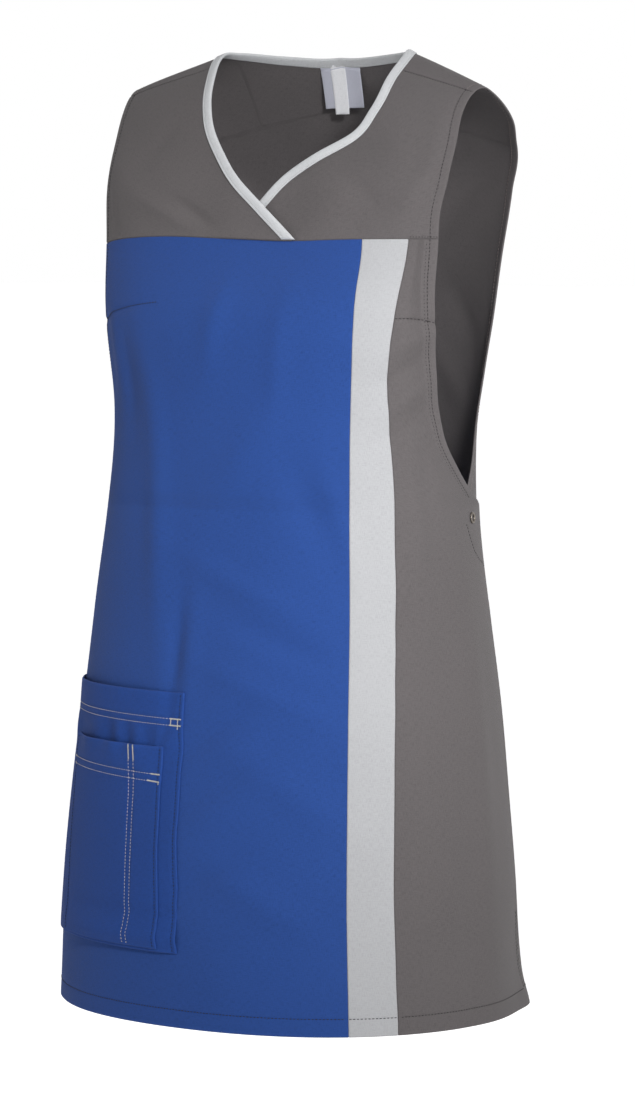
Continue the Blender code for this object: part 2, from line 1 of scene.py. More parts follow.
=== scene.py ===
"""The looks of a sleeveless tabard apron, in the hollow shape it has when worn.

Every panel is cut from one form of horizontal rings. A place on the form is an angle in degrees
(0 centre front, + towards the wearer's left, 180 centre back) and a level (0 at the hem ring, 12 at
the ridge of the shoulders). Sizes are in mm and become metres where a mesh is made.
"""

import math
from functools import partial

import bpy
import numpy as np
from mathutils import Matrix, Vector
from mathutils.kdtree import KDTree


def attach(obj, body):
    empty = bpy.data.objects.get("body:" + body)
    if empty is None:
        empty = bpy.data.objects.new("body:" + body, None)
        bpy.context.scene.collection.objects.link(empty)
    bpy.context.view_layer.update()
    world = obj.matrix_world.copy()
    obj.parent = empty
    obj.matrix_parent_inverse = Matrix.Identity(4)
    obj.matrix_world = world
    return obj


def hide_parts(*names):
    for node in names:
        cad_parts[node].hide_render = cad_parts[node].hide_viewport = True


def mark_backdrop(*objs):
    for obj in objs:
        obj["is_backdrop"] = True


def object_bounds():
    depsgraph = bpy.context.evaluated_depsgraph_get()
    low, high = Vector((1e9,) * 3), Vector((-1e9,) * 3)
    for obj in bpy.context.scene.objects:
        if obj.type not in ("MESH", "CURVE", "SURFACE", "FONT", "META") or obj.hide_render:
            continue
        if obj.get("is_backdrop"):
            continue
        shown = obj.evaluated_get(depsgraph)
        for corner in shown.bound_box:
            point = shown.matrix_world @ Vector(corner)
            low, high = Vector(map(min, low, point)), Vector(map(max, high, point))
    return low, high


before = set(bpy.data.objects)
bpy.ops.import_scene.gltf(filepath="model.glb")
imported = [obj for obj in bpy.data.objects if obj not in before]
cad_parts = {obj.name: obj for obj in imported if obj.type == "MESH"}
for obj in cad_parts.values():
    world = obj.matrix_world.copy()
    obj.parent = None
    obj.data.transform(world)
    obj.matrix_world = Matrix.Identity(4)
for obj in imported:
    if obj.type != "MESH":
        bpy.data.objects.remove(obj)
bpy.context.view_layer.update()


# ================================================================ Back
# The whole back is one piece of grey polyester-cotton twill, from the hem to the shoulder seams at
# the front. Its armholes are turned in and topstitched, its hem is turned up, and beside each side
# opening it reaches under the front as a narrow underlap, held by a press stud.

MM = 0.001
CLOTH_FACE = 0.5         # the cloth's right side lies this far outside the form, mm
CLOTH_UNDER = -0.35      # and its wrong side this far inside
TURNING_UNDER = -1.0     # where a hem or turning doubles the cloth
SEAM_ROLL = 1.3          # a sewn edge rolls in over this width
SEAM_DEPTH = 1.0         # and this deep
STITCH_DIP = 0.32        # a row of topstitching presses the cloth in this far
PUCKER_LENGTH = 8.1      # and puckers it in waves this long
LAP_SET = 3.2            # the underlap lies this far behind the front
ROW_SPACING = 4.6        # between the rows of points of a large panel

RING_COLUMNS = ("height", "half_width", "side_y", "front", "back",
                "front_square", "back_square", "drop", "forward")
RINGS = np.array((
    (-797, 200, -42, 168, 168, 2.2, 2.2, 0, 0),      # hem
    (-690, 193, -45, 161, 161, 2.2, 2.2, 0, 0),      # thigh
    (-570, 183, -44, 148, 148, 2.2, 2.2, 0, 0),      # hip
    (-470, 172, -44, 132, 132, 2.2, 2.2, 0, 0),      # high hip
    (-382, 162, -42, 119, 119, 2.25, 2.2, 0, 0),     # underarm
    (-300, 160, -35, 112, 113, 2.3, 2.25, 0, 0),     # rib
    (-222, 171, -28, 112, 106, 2.5, 2.4, 0, 0),      # bust
    (-157, 182, -18, 87, 98, 2.8, 2.7, 0, 0),        # yoke seam
    (-108, 188, -10, 82, 89, 3.0, 3.4, 10, 0),       # chest
    (-55, 190, -4, 70, 67, 3.0, 5.0, 40, 4),         # collar bone
    (-10, 190, 0, 52, 42, 3.0, 5.0, 63, 8),          # neck slope
    (17, 190, 2, 28, 21, 3.0, 4.0, 71, 10),          # shoulder arch
    (27, 190, 2, 0, 0, 3.0, 3.0, 72, 12),            # ridge
), float)
RIDGE = len(RINGS) - 1
DROP_CURVE = 1.2         # how the shoulder line bends as it drops from the neck to the tip
TIP_LIFT = 8.5           # the right shoulder's tip is this much higher, mm
# The yoke seam bows down and up along its length: angle, half-width in degrees, mm down
YOKE_SEAM_BOWS = ((-62, 13, 3.9), (-27, 15, -2.3), (10, 12, 1.6))

SIDE_ANGLE = 113.0       # side seams
LAP_ANGLE = 95.0         # edge of the underlap
LAP_LEVEL = 3.46         # bottom of the side opening
CORNER_LEVEL = 4.05      # top corner of the front's side edge
SLIT_LEVEL = 0.75        # top of the hem slits
YOKE_LEVEL = 7.0
SEAM_NECK_LEVEL = 10.8   # the shoulder seam at the neck
SEAM_TIP_LEVEL = 11.25   # and at the armhole
BLADE_LEVEL = 9.2        # below this the back is one width, above it runs to the straps and neckline

ARMHOLE_COLUMNS = ("level", "front_left", "front_right", "back_left", "back_right")
ARMHOLE = np.array((
    (4.20, 98.0, 98.0, 98.0, 98.0),
    (4.45, 86.0, 86.0, 106.0, 106.0),
    (4.70, 77.5, 77.5, 112.0, 112.0),
    (4.95, 73.0, 73.0, 115.5, 115.5),
    (5.45, 67.0, 67.0, 119.0, 119.0),
    (5.95, 62.0, 62.5, 122.5, 122.5),
    (6.50, 56.0, 60.0, 127.0, 127.0),
    (7.20, 50.5, 58.0, 131.5, 131.5),
    (8.20, 49.3, 56.0, 136.0, 135.5),
    (9.40, 49.0, 55.5, 135.0, 132.0),
    (10.40, 48.2, 56.0, 130.5, 126.5),
    (11.20, 48.5, 56.0, 130.5, 125.0),
    (12.00, 50.0, 55.0, 130.0, 125.0),
))
NECK_FRONT_COLUMNS = ("level", "right", "left")
NECK_FRONT = np.array((
    (7.0, 12.5, -8.0),
    (7.3, 6.5, -4.6),
    (7.68, -0.4, 0.0),
    (8.1, -7.5, 5.8),
    (8.46, -12.0, 13.5),
    (8.9, -16.2, 21.5),
    (9.5, -19.4, 25.0),
    (10.4, -21.8, 26.2),
    (11.2, -23.7, 26.5),
    (11.6, -24.4, 26.0),
    (12.0, -24.5, 25.0),
))
NECK_BACK = np.array((       # angle, level
    (155.0, 12.0),
    (155.9, 11.74),
    (157.4, 11.45),
    (160.4, 11.12),
    (164.2, 10.82),
    (170.0, 10.49),
    (176.0, 10.27),
    (180.0, 10.21),
    (185.0, 10.30),
    (191.0, 10.56),
    (197.9, 11.04),
    (201.6, 11.46),
    (203.5, 11.74),
    (204.5, 12.0),
))


def ring_at(level):
    """The form's rings at an array of levels, as a dictionary of RING_COLUMNS."""
    past_ridge = RINGS[-2].copy()
    for name in ("front", "back"):
        past_ridge[RING_COLUMNS.index(name)] *= -1
    rows = np.vstack([2 * RINGS[0] - RINGS[1], RINGS, past_ridge])
    start = np.clip(np.floor(level).astype(int), 0, RIDGE - 1)
    part = (level - start)[..., None]
    p0, p1, p2, p3 = (rows[start + k] for k in range(4))
    ring = 0.5 * (2 * p1 + (p2 - p0) * part + (2 * p0 - 5 * p1 + 4 * p2 - p3) * part ** 2
                  + (3 * p1 - p0 - 3 * p2 + p3) * part ** 3)
    return {name: ring[..., k] for k, name in enumerate(RING_COLUMNS)}


def on_form(angle, level):
    """Places on the form. Levels past the ridge run down the front of the shoulder."""
    angle, level = np.broadcast_arrays(np.asarray(angle, float), np.asarray(level, float))
    over = level > RIDGE
    angle = np.where(over, 180 - angle, angle)
    level = np.where(over, 2 * RIDGE - level, level)
    ring = ring_at(level)
    across, ahead = np.sin(np.radians(angle)), np.cos(np.radians(angle))
    square = np.where(ahead >= 0, ring["front_square"], ring["back_square"])
    deep = np.where(ahead >= 0, ring["front"], ring["back"])
    reach = (np.abs(across) ** square + np.abs(ahead) ** square) ** (1 / square)
    across, ahead = across / reach, ahead / reach
    return np.stack([
        ring["half_width"] * across,
        ring["side_y"] - deep * ahead - ring["forward"] * across ** 2,
        ring["height"] - ring["drop"] * np.abs(across) ** DROP_CURVE + right_side_lift(angle, level, across),
    ], axis=-1)


def right_side_lift(angle, level, across):
    """The right shoulder's tip sits a little higher, and the yoke seam bows."""
    tip = TIP_LIFT * ease(-across, 0.37, 1.0) * ease(level, 8.8, 11.2)
    dip = sum(down * bump(angle, middle, width) for middle, width, down in YOKE_SEAM_BOWS)
    return tip - dip * bump(level, YOKE_LEVEL, 0.8)


def unit(vectors):
    return vectors / np.maximum(np.linalg.norm(vectors, axis=-1, keepdims=True), 1e-9)


def slopes(surface, angle, level):
    """How a surface's places move per degree and per level."""
    turned = surface(angle + 0.5, level) - surface(angle - 0.5, level)
    raised = (surface(angle, level + 0.02) - surface(angle, level - 0.02)) / 0.04
    return turned, raised


def normal_at(angle, level):
    """Unit normals of the form, pointing out of the garment."""
    angle, level = np.asarray(angle, float), np.asarray(level, float)
    round_form = on_form(angle + 1, level) - on_form(angle - 1, level)
    up_form = on_form(angle, level + 0.02) - on_form(angle, level - 0.02)
    return unit(np.cross(round_form, up_form))


def look_up(table, column, at):
    """A table's column where its first column is at, on a smooth curve through the rows."""
    keys, values = table[:, 0], table[:, column]
    steep = np.gradient(values, keys)
    at = np.clip(np.asarray(at, float), keys[0], keys[-1])
    i = np.clip(np.searchsorted(keys, at) - 1, 0, len(keys) - 2)
    width = keys[i + 1] - keys[i]
    t = (at - keys[i]) / width
    return (values[i] * (1 + 2 * t) * (1 - t) ** 2 + values[i + 1] * t * t * (3 - 2 * t)
            + width * (steep[i] * t * (1 - t) ** 2 - steep[i + 1] * t * t * (1 - t)))


def armhole(column, level):
    return look_up(ARMHOLE, ARMHOLE_COLUMNS.index(column), level)


def neck_front(side, level):
    return look_up(NECK_FRONT, NECK_FRONT_COLUMNS.index(side), level)


def neck_back(angle):
    return look_up(NECK_BACK, 1, angle)


def ease(value, start, end):
    """0 at start, 1 at end, smooth in between."""
    t = np.clip((np.asarray(value, float) - start) / (end - start), 0, 1)
    return t * t * (3 - 2 * t)


def bump(value, middle, width):
    """1 at the middle, falling away smoothly to either side."""
    return np.exp(-((value - middle) / width) ** 2)


def soft_folds(table, angle, level):
    """Shallow folds and hollows of the cloth, from a table's rows."""
    out = np.zeros(np.broadcast(angle, level).shape)
    for middle, at_level, half_angle, half_level, lean, height in table:
        across = (angle - middle - lean * (level - at_level)) / half_angle
        out = out + 1.35 * height * np.exp(-across ** 2 - ((level - at_level) / half_level) ** 2)
    return out


def running_length(places, axis):
    """The distance run along rows (axis 1) or columns (axis 0) of a grid of places, mm."""
    steps = np.linalg.norm(np.diff(places, axis=axis), axis=-1)
    pad = [(0, 0), (0, 0)]
    pad[axis] = (1, 0)
    return np.cumsum(np.pad(steps, pad), axis=axis)


def run_along(places):
    """The distance run along one line of places, mm."""
    return running_length(places[None], 1)[0]


def between(at, run, rows):
    """Rows of numbers, interpolated at distances along a line."""
    return np.stack([np.interp(at, run, column) for column in rows.T], -1)


def lay_rows(start, end, near_start, near_end, count, shares=None):
    """Angles and levels of the places along rows that run from start to end, each (angles, levels).

    near_start and near_end are distances in mm from the ends, where creases need close columns;
    count columns lie evenly between them, or at shares of that stretch.
    """
    start, end = (np.stack(np.broadcast_arrays(*ends), axis=-1).astype(float) for ends in (start, end))
    part = np.linspace(0, 1, 201)[None, :, None]
    marks = start[:, None] + (end - start)[:, None] * part
    run = running_length(on_form(marks[..., 0], marks[..., 1]), 1)
    total = run[:, -1:]
    near_start, near_end = np.array(near_start, float), np.array(near_end, float)
    squeeze = np.minimum(1, 0.45 * total / max(near_start[-1], near_end[-1], 1e-9))
    low, high = near_start * squeeze, total - near_end[::-1] * squeeze
    shares = np.linspace(0, 1, count + 2)[1:-1] if shares is None else np.asarray(shares)
    middle = low[:, -1:] + (high[:, :1] - low[:, -1:]) * shares
    goals = np.concatenate([low, middle, high], axis=1)
    found = np.array([np.interp(goal, line, part[0, :, 0]) for goal, line in zip(goals, run)])
    marks = start[:, None] + (end - start)[:, None] * found[..., None]
    return marks[..., 0], marks[..., 1]


def lay_across(outer_first, outer, inner, near_outer, near_inner, count):
    """Rows between an outer and an inner edge, laid from whichever comes first round the body."""
    if outer_first:
        return lay_rows(outer, inner, near_outer, near_inner, count)
    return lay_rows(inner, outer, near_inner, near_outer, count)


def settle(goal, angle, level, surface, steps, most_angle, most_level):
    """The angles and levels of a surface's places nearest to some goals, in steps from a guess."""
    for _ in range(steps):
        miss = goal - surface(angle, level)
        turned, raised = slopes(surface, angle, level)
        tt, rr, tr = (turned ** 2).sum(-1), (raised ** 2).sum(-1), (turned * raised).sum(-1)
        mt, mr = (miss * turned).sum(-1), (miss * raised).sum(-1)
        spread = np.maximum(tt * rr - tr ** 2, 1e-9)
        angle = angle + np.clip((mt * rr - mr * tr) / spread, -most_angle, most_angle)
        level = level + np.clip((mr * tt - mt * tr) / spread, -most_level, most_level)
    return angle, level


def beside(line, distance):
    """A line (angles, levels) moved sideways over the form, mm, to the left of its direction as seen
    from outside the garment."""
    angle, level = line
    place = on_form(angle, level)
    along = unit(np.gradient(place, axis=0))
    goal = place + distance * unit(np.cross(normal_at(angle, level), along))
    return settle(goal, angle, level, on_form, 8, 4, 0.15)


def level_line(level, start, end, count):
    return np.linspace(start, end, count), np.full(count, float(level))


def distance_to(line, place):
    """Distance of each place from a line on the form, and how far along the line that is, mm."""
    marks = on_form(*line)
    run = run_along(marks)
    fine = np.arange(0, run[-1], 0.5)
    points = between(fine, run, marks)
    tree = KDTree(len(points))
    for i, point in enumerate(points):
        tree.insert(point, i)
    tree.balance()
    found = np.array([tree.find(point)[1:] for point in place.reshape(-1, 3)])
    return found[:, 1].reshape(place.shape[:-1]), fine[found[:, 0].astype(int)].reshape(place.shape[:-1])


def panel(angle, level, drape, sewn=(), turned=(), stitched=(), pucker=0.06):
    """A grid of cloth with both its faces.

    drape(angle, level) is its fold off the form; sewn lists (edge, rows) that roll in to a seam;
    turned lists (line, width) of turnings; stitched lists lines of topstitching, which press in.
    """
    place = on_form(angle, level)
    across, up = running_length(place, 1), running_length(place, 0)
    middle = across.shape[1] // 2
    cloth = {"place": place, "normal": normal_at(angle, level), "out": drape(angle, level),
             "left": across, "right": across[:, -1:] - across, "bottom": up, "top": up[-1:] - up,
             "u": across - across[:, middle:middle + 1], "v": up, "edge": np.zeros_like(across)}
    face = np.full_like(across, CLOTH_FACE)
    under = np.full_like(across, CLOTH_UNDER)
    for name, rows in sewn:
        into = np.clip(1 - cloth[name] / SEAM_ROLL, 0, 1) * rows
        roll = -SEAM_DEPTH * (1 - np.sqrt(1 - into ** 2 * 0.998))
        face += roll
        under += roll
    for line, width in turned:
        inside, _ = distance_to(line, place)
        under += (TURNING_UNDER - CLOTH_UNDER) * ease(inside, width + 1.3, width - 0.7)
        face += 0.10 * bump(inside, width, 1.4)
        # A turning's fold is marked to be painted paler: partly wear, partly a painted highlight along the
        # fold
        cloth["edge"] = np.maximum(cloth["edge"], bump(inside, 0, 1.3))
    for line in stitched:
        gap, along = distance_to(line, place)
        dip = -STITCH_DIP * bump(gap, 0, 1.2)
        turn = 2 * math.pi * along / PUCKER_LENGTH
        wave = pucker * np.sin(turn + 1.3 * np.sin(along / 27)) * bump(gap, 0, 3.5)
        face += dip + wave
        under += wave - 0.5 * dip
    cloth["face"], cloth["under"] = face, under
    return cloth


def faces_of(cloth):
    """The outer and inner faces of a panel, mm."""
    out = cloth["out"][..., None]
    outer = cloth["place"] + cloth["normal"] * (out + cloth["face"][..., None])
    inner = cloth["place"] + cloth["normal"] * (out + cloth["under"][..., None])
    return outer, inner


def add_mesh(name, places, faces, material, flat=None, edge=None):
    """A smooth-shaded object from places in mm, with flat cloth coordinates in metres."""
    mesh = bpy.data.meshes.new(name)
    mesh.from_pydata((np.asarray(places) * MM).tolist(), [], faces)
    mesh.materials.append(material)
    mesh.shade_smooth()
    if flat is not None:
        corners = np.zeros(len(mesh.loops), np.int32)
        mesh.loops.foreach_get("vertex_index", corners)
        layer = mesh.uv_layers.new(name="cloth")
        layer.data.foreach_set("uv", (np.asarray(flat) * MM)[corners].astype(np.float32).ravel())
    # edge marks where the cloth is painted paler: partly wear, partly a painted highlight along folded edges
    values = np.zeros(len(places)) if edge is None else edge
    worn = mesh.attributes.new("worn_and_highlit_edge", "FLOAT", "POINT")
    worn.data.foreach_set("value", np.asarray(values, np.float32))
    piece = bpy.data.objects.new(name, mesh)
    bpy.context.scene.collection.objects.link(piece)
    return piece


def make_cloth(name, panels, material):
    """One closed thin shell from panels whose shared edges have the same places."""
    def gathered(grids):
        return np.concatenate([grid.reshape(-1, grid.shape[-1]) for grid in grids])

    base = gathered([cloth["place"] for cloth in panels])
    _, kept, merged = np.unique(np.round(base, 1), axis=0, return_index=True, return_inverse=True)
    merged = merged.ravel()
    outer, inner = (gathered(faces)[kept] for faces in zip(*map(faces_of, panels)))
    normal = gathered([cloth["normal"] for cloth in panels])[kept]
    flat = gathered([np.stack([cloth["u"], cloth["v"]], -1) for cloth in panels])[kept]
    edge = gathered([cloth["edge"][..., None] for cloth in panels])[kept, 0]

    faces, sides, first = [], {}, 0
    for cloth in panels:
        at = merged[first:first + cloth["u"].size].reshape(cloth["u"].shape)
        first += at.size
        quads = np.stack([at[:-1, :-1], at[:-1, 1:], at[1:, 1:], at[1:, :-1]], -1).reshape(-1, 4)
        for quad in quads.tolist():
            ring = [v for i, v in enumerate(quad) if v != quad[i - 1]]
            if len(ring) > 2:
                faces.append(ring)
                sides.update(dict.fromkeys(zip(ring, ring[1:] + ring[:1])))
    rim = [(start, end) for start, end in sides if (end, start) not in sides]

    # The rim is rounded: its middle stands out by half the cloth's thickness
    outward = np.zeros_like(outer)
    for start, end in rim:
        away = np.cross(outer[end] - outer[start], normal[start])
        outward[start] += away
        outward[end] += away
    on_rim = sorted({v for pair in rim for v in pair})
    size = len(outer)
    slot = {v: 2 * size + i for i, v in enumerate(on_rim)}
    thick = np.linalg.norm(outer - inner, axis=1)[on_rim, None]
    middle = (outer[on_rim] + inner[on_rim]) / 2 + unit(outward[on_rim]) * thick * 0.5
    solid = [tuple(face) for face in faces] + [tuple(v + size for v in face[::-1]) for face in faces]
    for start, end in rim:
        solid.append((end, start, slot[start], slot[end]))
        solid.append((slot[end], slot[start], start + size, end + size))
    return add_mesh(name, np.concatenate([outer, inner, middle]), solid, material,
                    np.concatenate([flat, flat, flat[on_rim]]), np.concatenate([edge, edge, edge[on_rim]]))


def set_inputs(tree, node, inputs):
    """Each input is given a value, or is joined to another node's output."""
    for name, value in inputs.items():
        if isinstance(value, bpy.types.NodeSocket):
            tree.links.new(value, node.inputs[name])
        else:
            node.inputs[name].default_value = value


def add_node(tree, kind, inputs, **settings):
    """The outputs of a new shader node. Its settings come first, for they decide which inputs it has."""
    node = tree.nodes.new("ShaderNode" + kind)
    for name, value in settings.items():
        setattr(node, name, value)
    set_inputs(tree, node, inputs)
    return node.outputs


def new_material(name):
    material = bpy.data.materials.new(name)
    material.use_nodes = True
    return material, material.node_tree


def twill(name, colour, shade, rib=0.5, roughness=0.84, sheen=0.05, weave=1.0, gloss=0.18):
    """Woven cloth: diagonal ribs over crossing threads, uneven dye, and edges painted paler, partly as wear
    and partly as a painted highlight. rib in mm.
    """
    material, tree = new_material(name)
    flat = add_node(tree, "UVMap", {}, uv_map="cloth")["UV"]

    def streaks(wide, high):
        """Single threads, as streaks of a size in mm."""
        place = add_node(tree, "Mapping", {"Vector": flat, "Scale": (1 / (wide * MM), 1 / (high * MM), 1)})
        cloudy = add_node(tree, "TexNoise", {"Vector": place["Vector"], "Scale": 1.0, "Detail": 2.0})
        sharp = {"Value": cloudy["Fac"], "From Min": 0.28, "From Max": 0.72}
        return add_node(tree, "MapRange", sharp)["Result"]

    def sum_of(*terms):
        total = 0.0
        for value, share in terms:
            total = add_node(tree, "Math", {0: value, 1: share, 2: total}, operation="MULTIPLY_ADD")[0]
        return total

    slant = add_node(tree, "Mapping", {"Vector": flat, "Scale": (0.314 / (rib * MM),) * 3,
                                       "Rotation": (0, 0, math.radians(62))})
    ribs = add_node(tree, "TexWave", {"Vector": slant["Vector"], "Scale": 1.0, "Distortion": 0.6,
                                      "Detail": 1.0, "Detail Scale": 3.0})["Fac"]
    warp, weft = streaks(0.45, 4.0), streaks(5.0, 0.5)
    where = add_node(tree, "TexCoord", {})["Object"]
    dye = add_node(tree, "TexNoise", {"Vector": where, "Scale": 9.0, "Detail": 3.0})["Fac"]
    # Edges are painted paler, partly as wear and partly as a painted highlight where folds catch the light
    worn = add_node(tree, "Attribute", {}, attribute_name="worn_and_highlit_edge")["Fac"]
    tone = sum_of((ribs, 0.36 * weave), (warp, 0.6 * weave), (weft, 0.45 * weave), (dye, 0.35), (worn, 0.22))
    mix = add_node(tree, "Mix", {"A": (*shade, 1), "B": (*colour, 1), "Factor": tone}, data_type="RGBA")
    rough = add_node(tree, "MapRange", {"Value": warp, "To Min": roughness - 0.08,
                                        "To Max": roughness + 0.08})
    relief = add_node(tree, "Bump", {"Strength": 0.75, "Distance": 0.22 * MM,
                                     "Height": sum_of((ribs, 0.5), (warp, 0.6), (weft, 0.5))})
    set_inputs(tree, tree.nodes["Principled BSDF"], {
        "Base Color": mix["Result"], "Roughness": rough["Result"], "Normal": relief["Normal"],
        "Sheen Weight": sheen, "Sheen Roughness": 0.5, "Specular IOR Level": gloss})
    return material


# A stitch along its length: share of it, mm off the cloth, thickness as a share
STITCH = np.array(((0.0, -0.12, 0.6), (0.22, 0.10, 1.0), (0.5, 0.16, 1.05), (0.78, 0.10, 1.0),
                   (1.0, -0.12, 0.6)))
STITCH_SIDES = 6


def threads(name, stitches, material, radius=0.3):
    """Rows of stitches as one mesh. A stitch is a short thread that dips into the cloth at its ends:
    (starts, ends, normals), arrays of places in mm."""
    starts, ends, normals = (np.concatenate([row[k] for row in stitches]) for k in range(3))
    part, lift, girth = STITCH.T
    crosswise = unit(np.cross(unit(ends - starts), normals))
    core = starts[:, None] + (ends - starts)[:, None] * part[:, None] + normals[:, None] * lift[:, None]
    turn = 2 * math.pi * np.arange(STITCH_SIDES) / STITCH_SIDES
    ray = crosswise[:, None, None] * np.cos(turn)[:, None]
    ray = ray + normals[:, None, None] * np.sin(turn)[:, None] * 0.85
    rings = core[:, :, None] + ray * (radius * girth)[:, None, None]
    places = rings.reshape(-1, 3)
    index = np.arange(len(places)).reshape(rings.shape[:3])
    after = np.roll(index, -1, axis=2)
    walls = np.stack([index[:, :-1], after[:, :-1], after[:, 1:], index[:, 1:]], -1).reshape(-1, 4)
    caps = np.concatenate([index[:, 0, ::-1], index[:, -1]])
    return add_mesh(name, places, walls.tolist() + caps.tolist(), material,
                    flat=np.stack([places[:, 0] + places[:, 1], places[:, 2]], -1))


def sewn_row(line, normals, pitch, gap=0.8):
    """The stitches of one row along a line of places: starts, ends and normals."""
    run = run_along(line)
    count = max(int(run[-1] / pitch), 1)
    middle = (np.arange(count) + 0.5) * run[-1] / count
    half = (run[-1] / count - gap) / 2 * (1 + 0.08 * np.sin(np.arange(count) * 2.4))
    starts, ends = between(middle - half, run, line), between(middle + half, run, line)
    return starts, ends, unit(between(middle, run, normals))


def on_cloth(line, drape, under=False, sunk=0.12):
    """Places and normals along a line (angles, levels) on the right or wrong side of the cloth."""
    normal = normal_at(*line)
    out = drape(*line)
    if under:
        return on_form(*line) + normal * (out + TURNING_UNDER + sunk)[:, None], -normal
    return on_form(*line) + normal * (out + CLOTH_FACE - sunk)[:, None], normal


def body_row(line, drape, first=0.0, last=1.0, pitch=3.0, gap=1.15):
    """A row of stitches on both sides of the cloth, along a stretch of a line."""
    stretch = [np.asarray(values)[int(first * len(values)):int(last * len(values))] for values in line]
    return [sewn_row(*on_cloth(stretch, drape, under), pitch, gap) for under in (False, True)]


# Folds: angle, level, half-width in degrees, half-height in levels, lean in degrees a level, mm high
BACK_FOLDS = (
    (153, 7.6, 5, 1.3, -9, 1.6),       # from the blade to the armhole, one each side
    (207, 7.6, 5, 1.3, 9, 1.6),
    (167, 3.6, 6, 1.6, -3, -2.2),      # the hollow of the back
    (194, 3.4, 7, 1.8, 3, -2.4),
    (180, 4.4, 9, 0.9, 0, 1.8),
    (141, 1.7, 7, 1.5, 2, 2.2),
    (222, 1.5, 7, 1.4, -2, 2.2),
    (166, 8.9, 6, 0.5, 12, 1.5),       # between the shoulders
    (193, 9.1, 6, 0.6, -10, -1.5),
    (179, 8.1, 7, 0.5, 6, 1.6),
    (186, 6.6, 8, 0.5, 20, -1.6),
    (163, 6.2, 7, 0.5, -20, 1.7),
    (143, 6.0, 6, 0.5, 22, 1.5),       # beside the armholes
    (148, 5.4, 6, 0.4, 25, -1.4),
    (217, 6.1, 6, 0.5, -22, 1.5),
    (212, 5.5, 6, 0.4, -25, -1.4),
)
YOKE_FOLDS = {
    "right": ((-25, 7.32, 2.6, 0.28, -22, 1.5), (-19, 7.42, 2.5, 0.32, -20, -1.7),
              (-32, 7.55, 4.0, 0.40, -14, 1.4), (-44, 8.3, 6.0, 0.7, -8, 1.5),
              (-50, 7.3, 3.5, 0.5, 0, -1.3), (-34, 8.9, 5.0, 0.5, 10, -1.4)),
    "left": ((20, 7.6, 5.0, 0.5, 6, 1.5), (27, 7.9, 3.5, 0.45, -12, -1.7), (34, 8.6, 5.0, 0.8, -5, 1.4),
             (43, 9.5, 3.0, 1.1, 0, 1.1), (28, 7.2, 4.0, 0.3, 0, -1.0), (41, 8.0, 3.2, 0.7, 4, 1.6)),
}
YOKE_CROSSING = 2.6      # the right yoke is lifted, and the left one pressed in, this far at the V

SKIRT_FLUTE = 1.6        # height of the skirt's flutes at the hem
CORNER_KICK = 4.2        # the slits' corners stand out this far
# The sides fall in above the slits: level, half-height in levels, mm deep
SIDE_HOLLOWS = ((0.4, 0.5, 6.0), (1.6, 0.8, 2.5))


def uneven(angle, level):
    """The slight unevenness of worn cloth."""
    turn = np.radians(angle)
    wide = 0.35 * np.sin(5 * turn + 1.9 * level) * np.sin(1.3 * level + 2 * turn)
    narrow = 0.22 * np.sin(9 * turn - 2.7 * level + 1) * ease(level, 7, 5)
    return (wide + narrow) * ease(level, 10.5, 8.5)


def skirt_drape(angle, level):
    """Soft fall of the skirt: shallow flutes that grow to the hem, and sides that fall in above the
    slits, whose corners kick out."""
    signed = np.where(angle > 180, angle - 360, angle)
    flute = SKIRT_FLUTE * np.sin(np.radians(signed * 4 + 30)) * ease(level, 3, 0)
    corner = CORNER_KICK * bump(np.abs(signed), SIDE_ANGLE, 7) * ease(level, 0.3, 0)
    hollow = sum(deep * bump(level, middle, high) for middle, high, deep in SIDE_HOLLOWS)
    return flute + corner - bump(np.abs(signed), 108, 15) * hollow + uneven(angle, level)


def back_drape(angle, level):
    """The skirt's fall, and the underlaps pressed in behind the front at the side openings."""
    from_side = np.abs(180 - angle)
    under_front = ease(from_side, 180 - SIDE_ANGLE - 12, 180 - SIDE_ANGLE - 2)
    lap = -LAP_SET * under_front * ease(level, 3.1, LAP_LEVEL) * ease(level, 5.4, 4.6)
    calm = ease(from_side, 180 - SIDE_ANGLE, 180 - SIDE_ANGLE - 14) * ease(level, 4.0, 3.0)
    calm = np.maximum(calm, ease(from_side, 52, 38))
    return skirt_drape(angle, level) + lap + soft_folds(BACK_FOLDS, angle, level) * calm


def levels_up(angle, bottom, top, near_bottom, near_top):
    """Levels of rows from bottom to top, closer beside both ends, spaced in mm as at an angle."""
    height = run_along(on_form(np.full(60, float(angle)), np.linspace(bottom, top, 60)))[-1]
    count = max(int((height - near_bottom[-1] - near_top[-1]) / ROW_SPACING), 2)
    return lay_rows(([angle], [bottom]), ([angle], [top]), near_bottom, near_top, count)[1][0]


def with_close_rows(levels, low, high, step):
    """The same levels, with rows a step apart from low to high."""
    kept = levels[(levels < low - step) | (levels > high + step)]
    return np.sort(np.concatenate([kept, np.arange(low, high + step / 2, step)]))


def back_armhole(side, level):
    """The back's armhole edge, over the ridge and down to the shoulder seam."""
    behind = armhole("back_" + side, np.minimum(level, RIDGE))
    ahead = 180 - armhole("front_" + side, 2 * RIDGE - np.maximum(level, RIDGE))
    angle = np.where(level > RIDGE, ahead, behind)
    return angle if side == "left" else 360 - angle


def back_edge(side, level):
    """The back's outer edge: side seam, underlap, then armhole."""
    start, top = LAP_LEVEL, ARMHOLE[0, 0]
    lap = LAP_ANGLE + (ARMHOLE[0, 1] - LAP_ANGLE) * np.clip((level - start) / (top - start), 0, 1)
    lower = SIDE_ANGLE + (lap - SIDE_ANGLE) * ease(level, start - 0.05, start + 0.05)
    lower = lower if side == "left" else 360 - lower
    return np.where(level < top, lower, back_armhole(side, level))


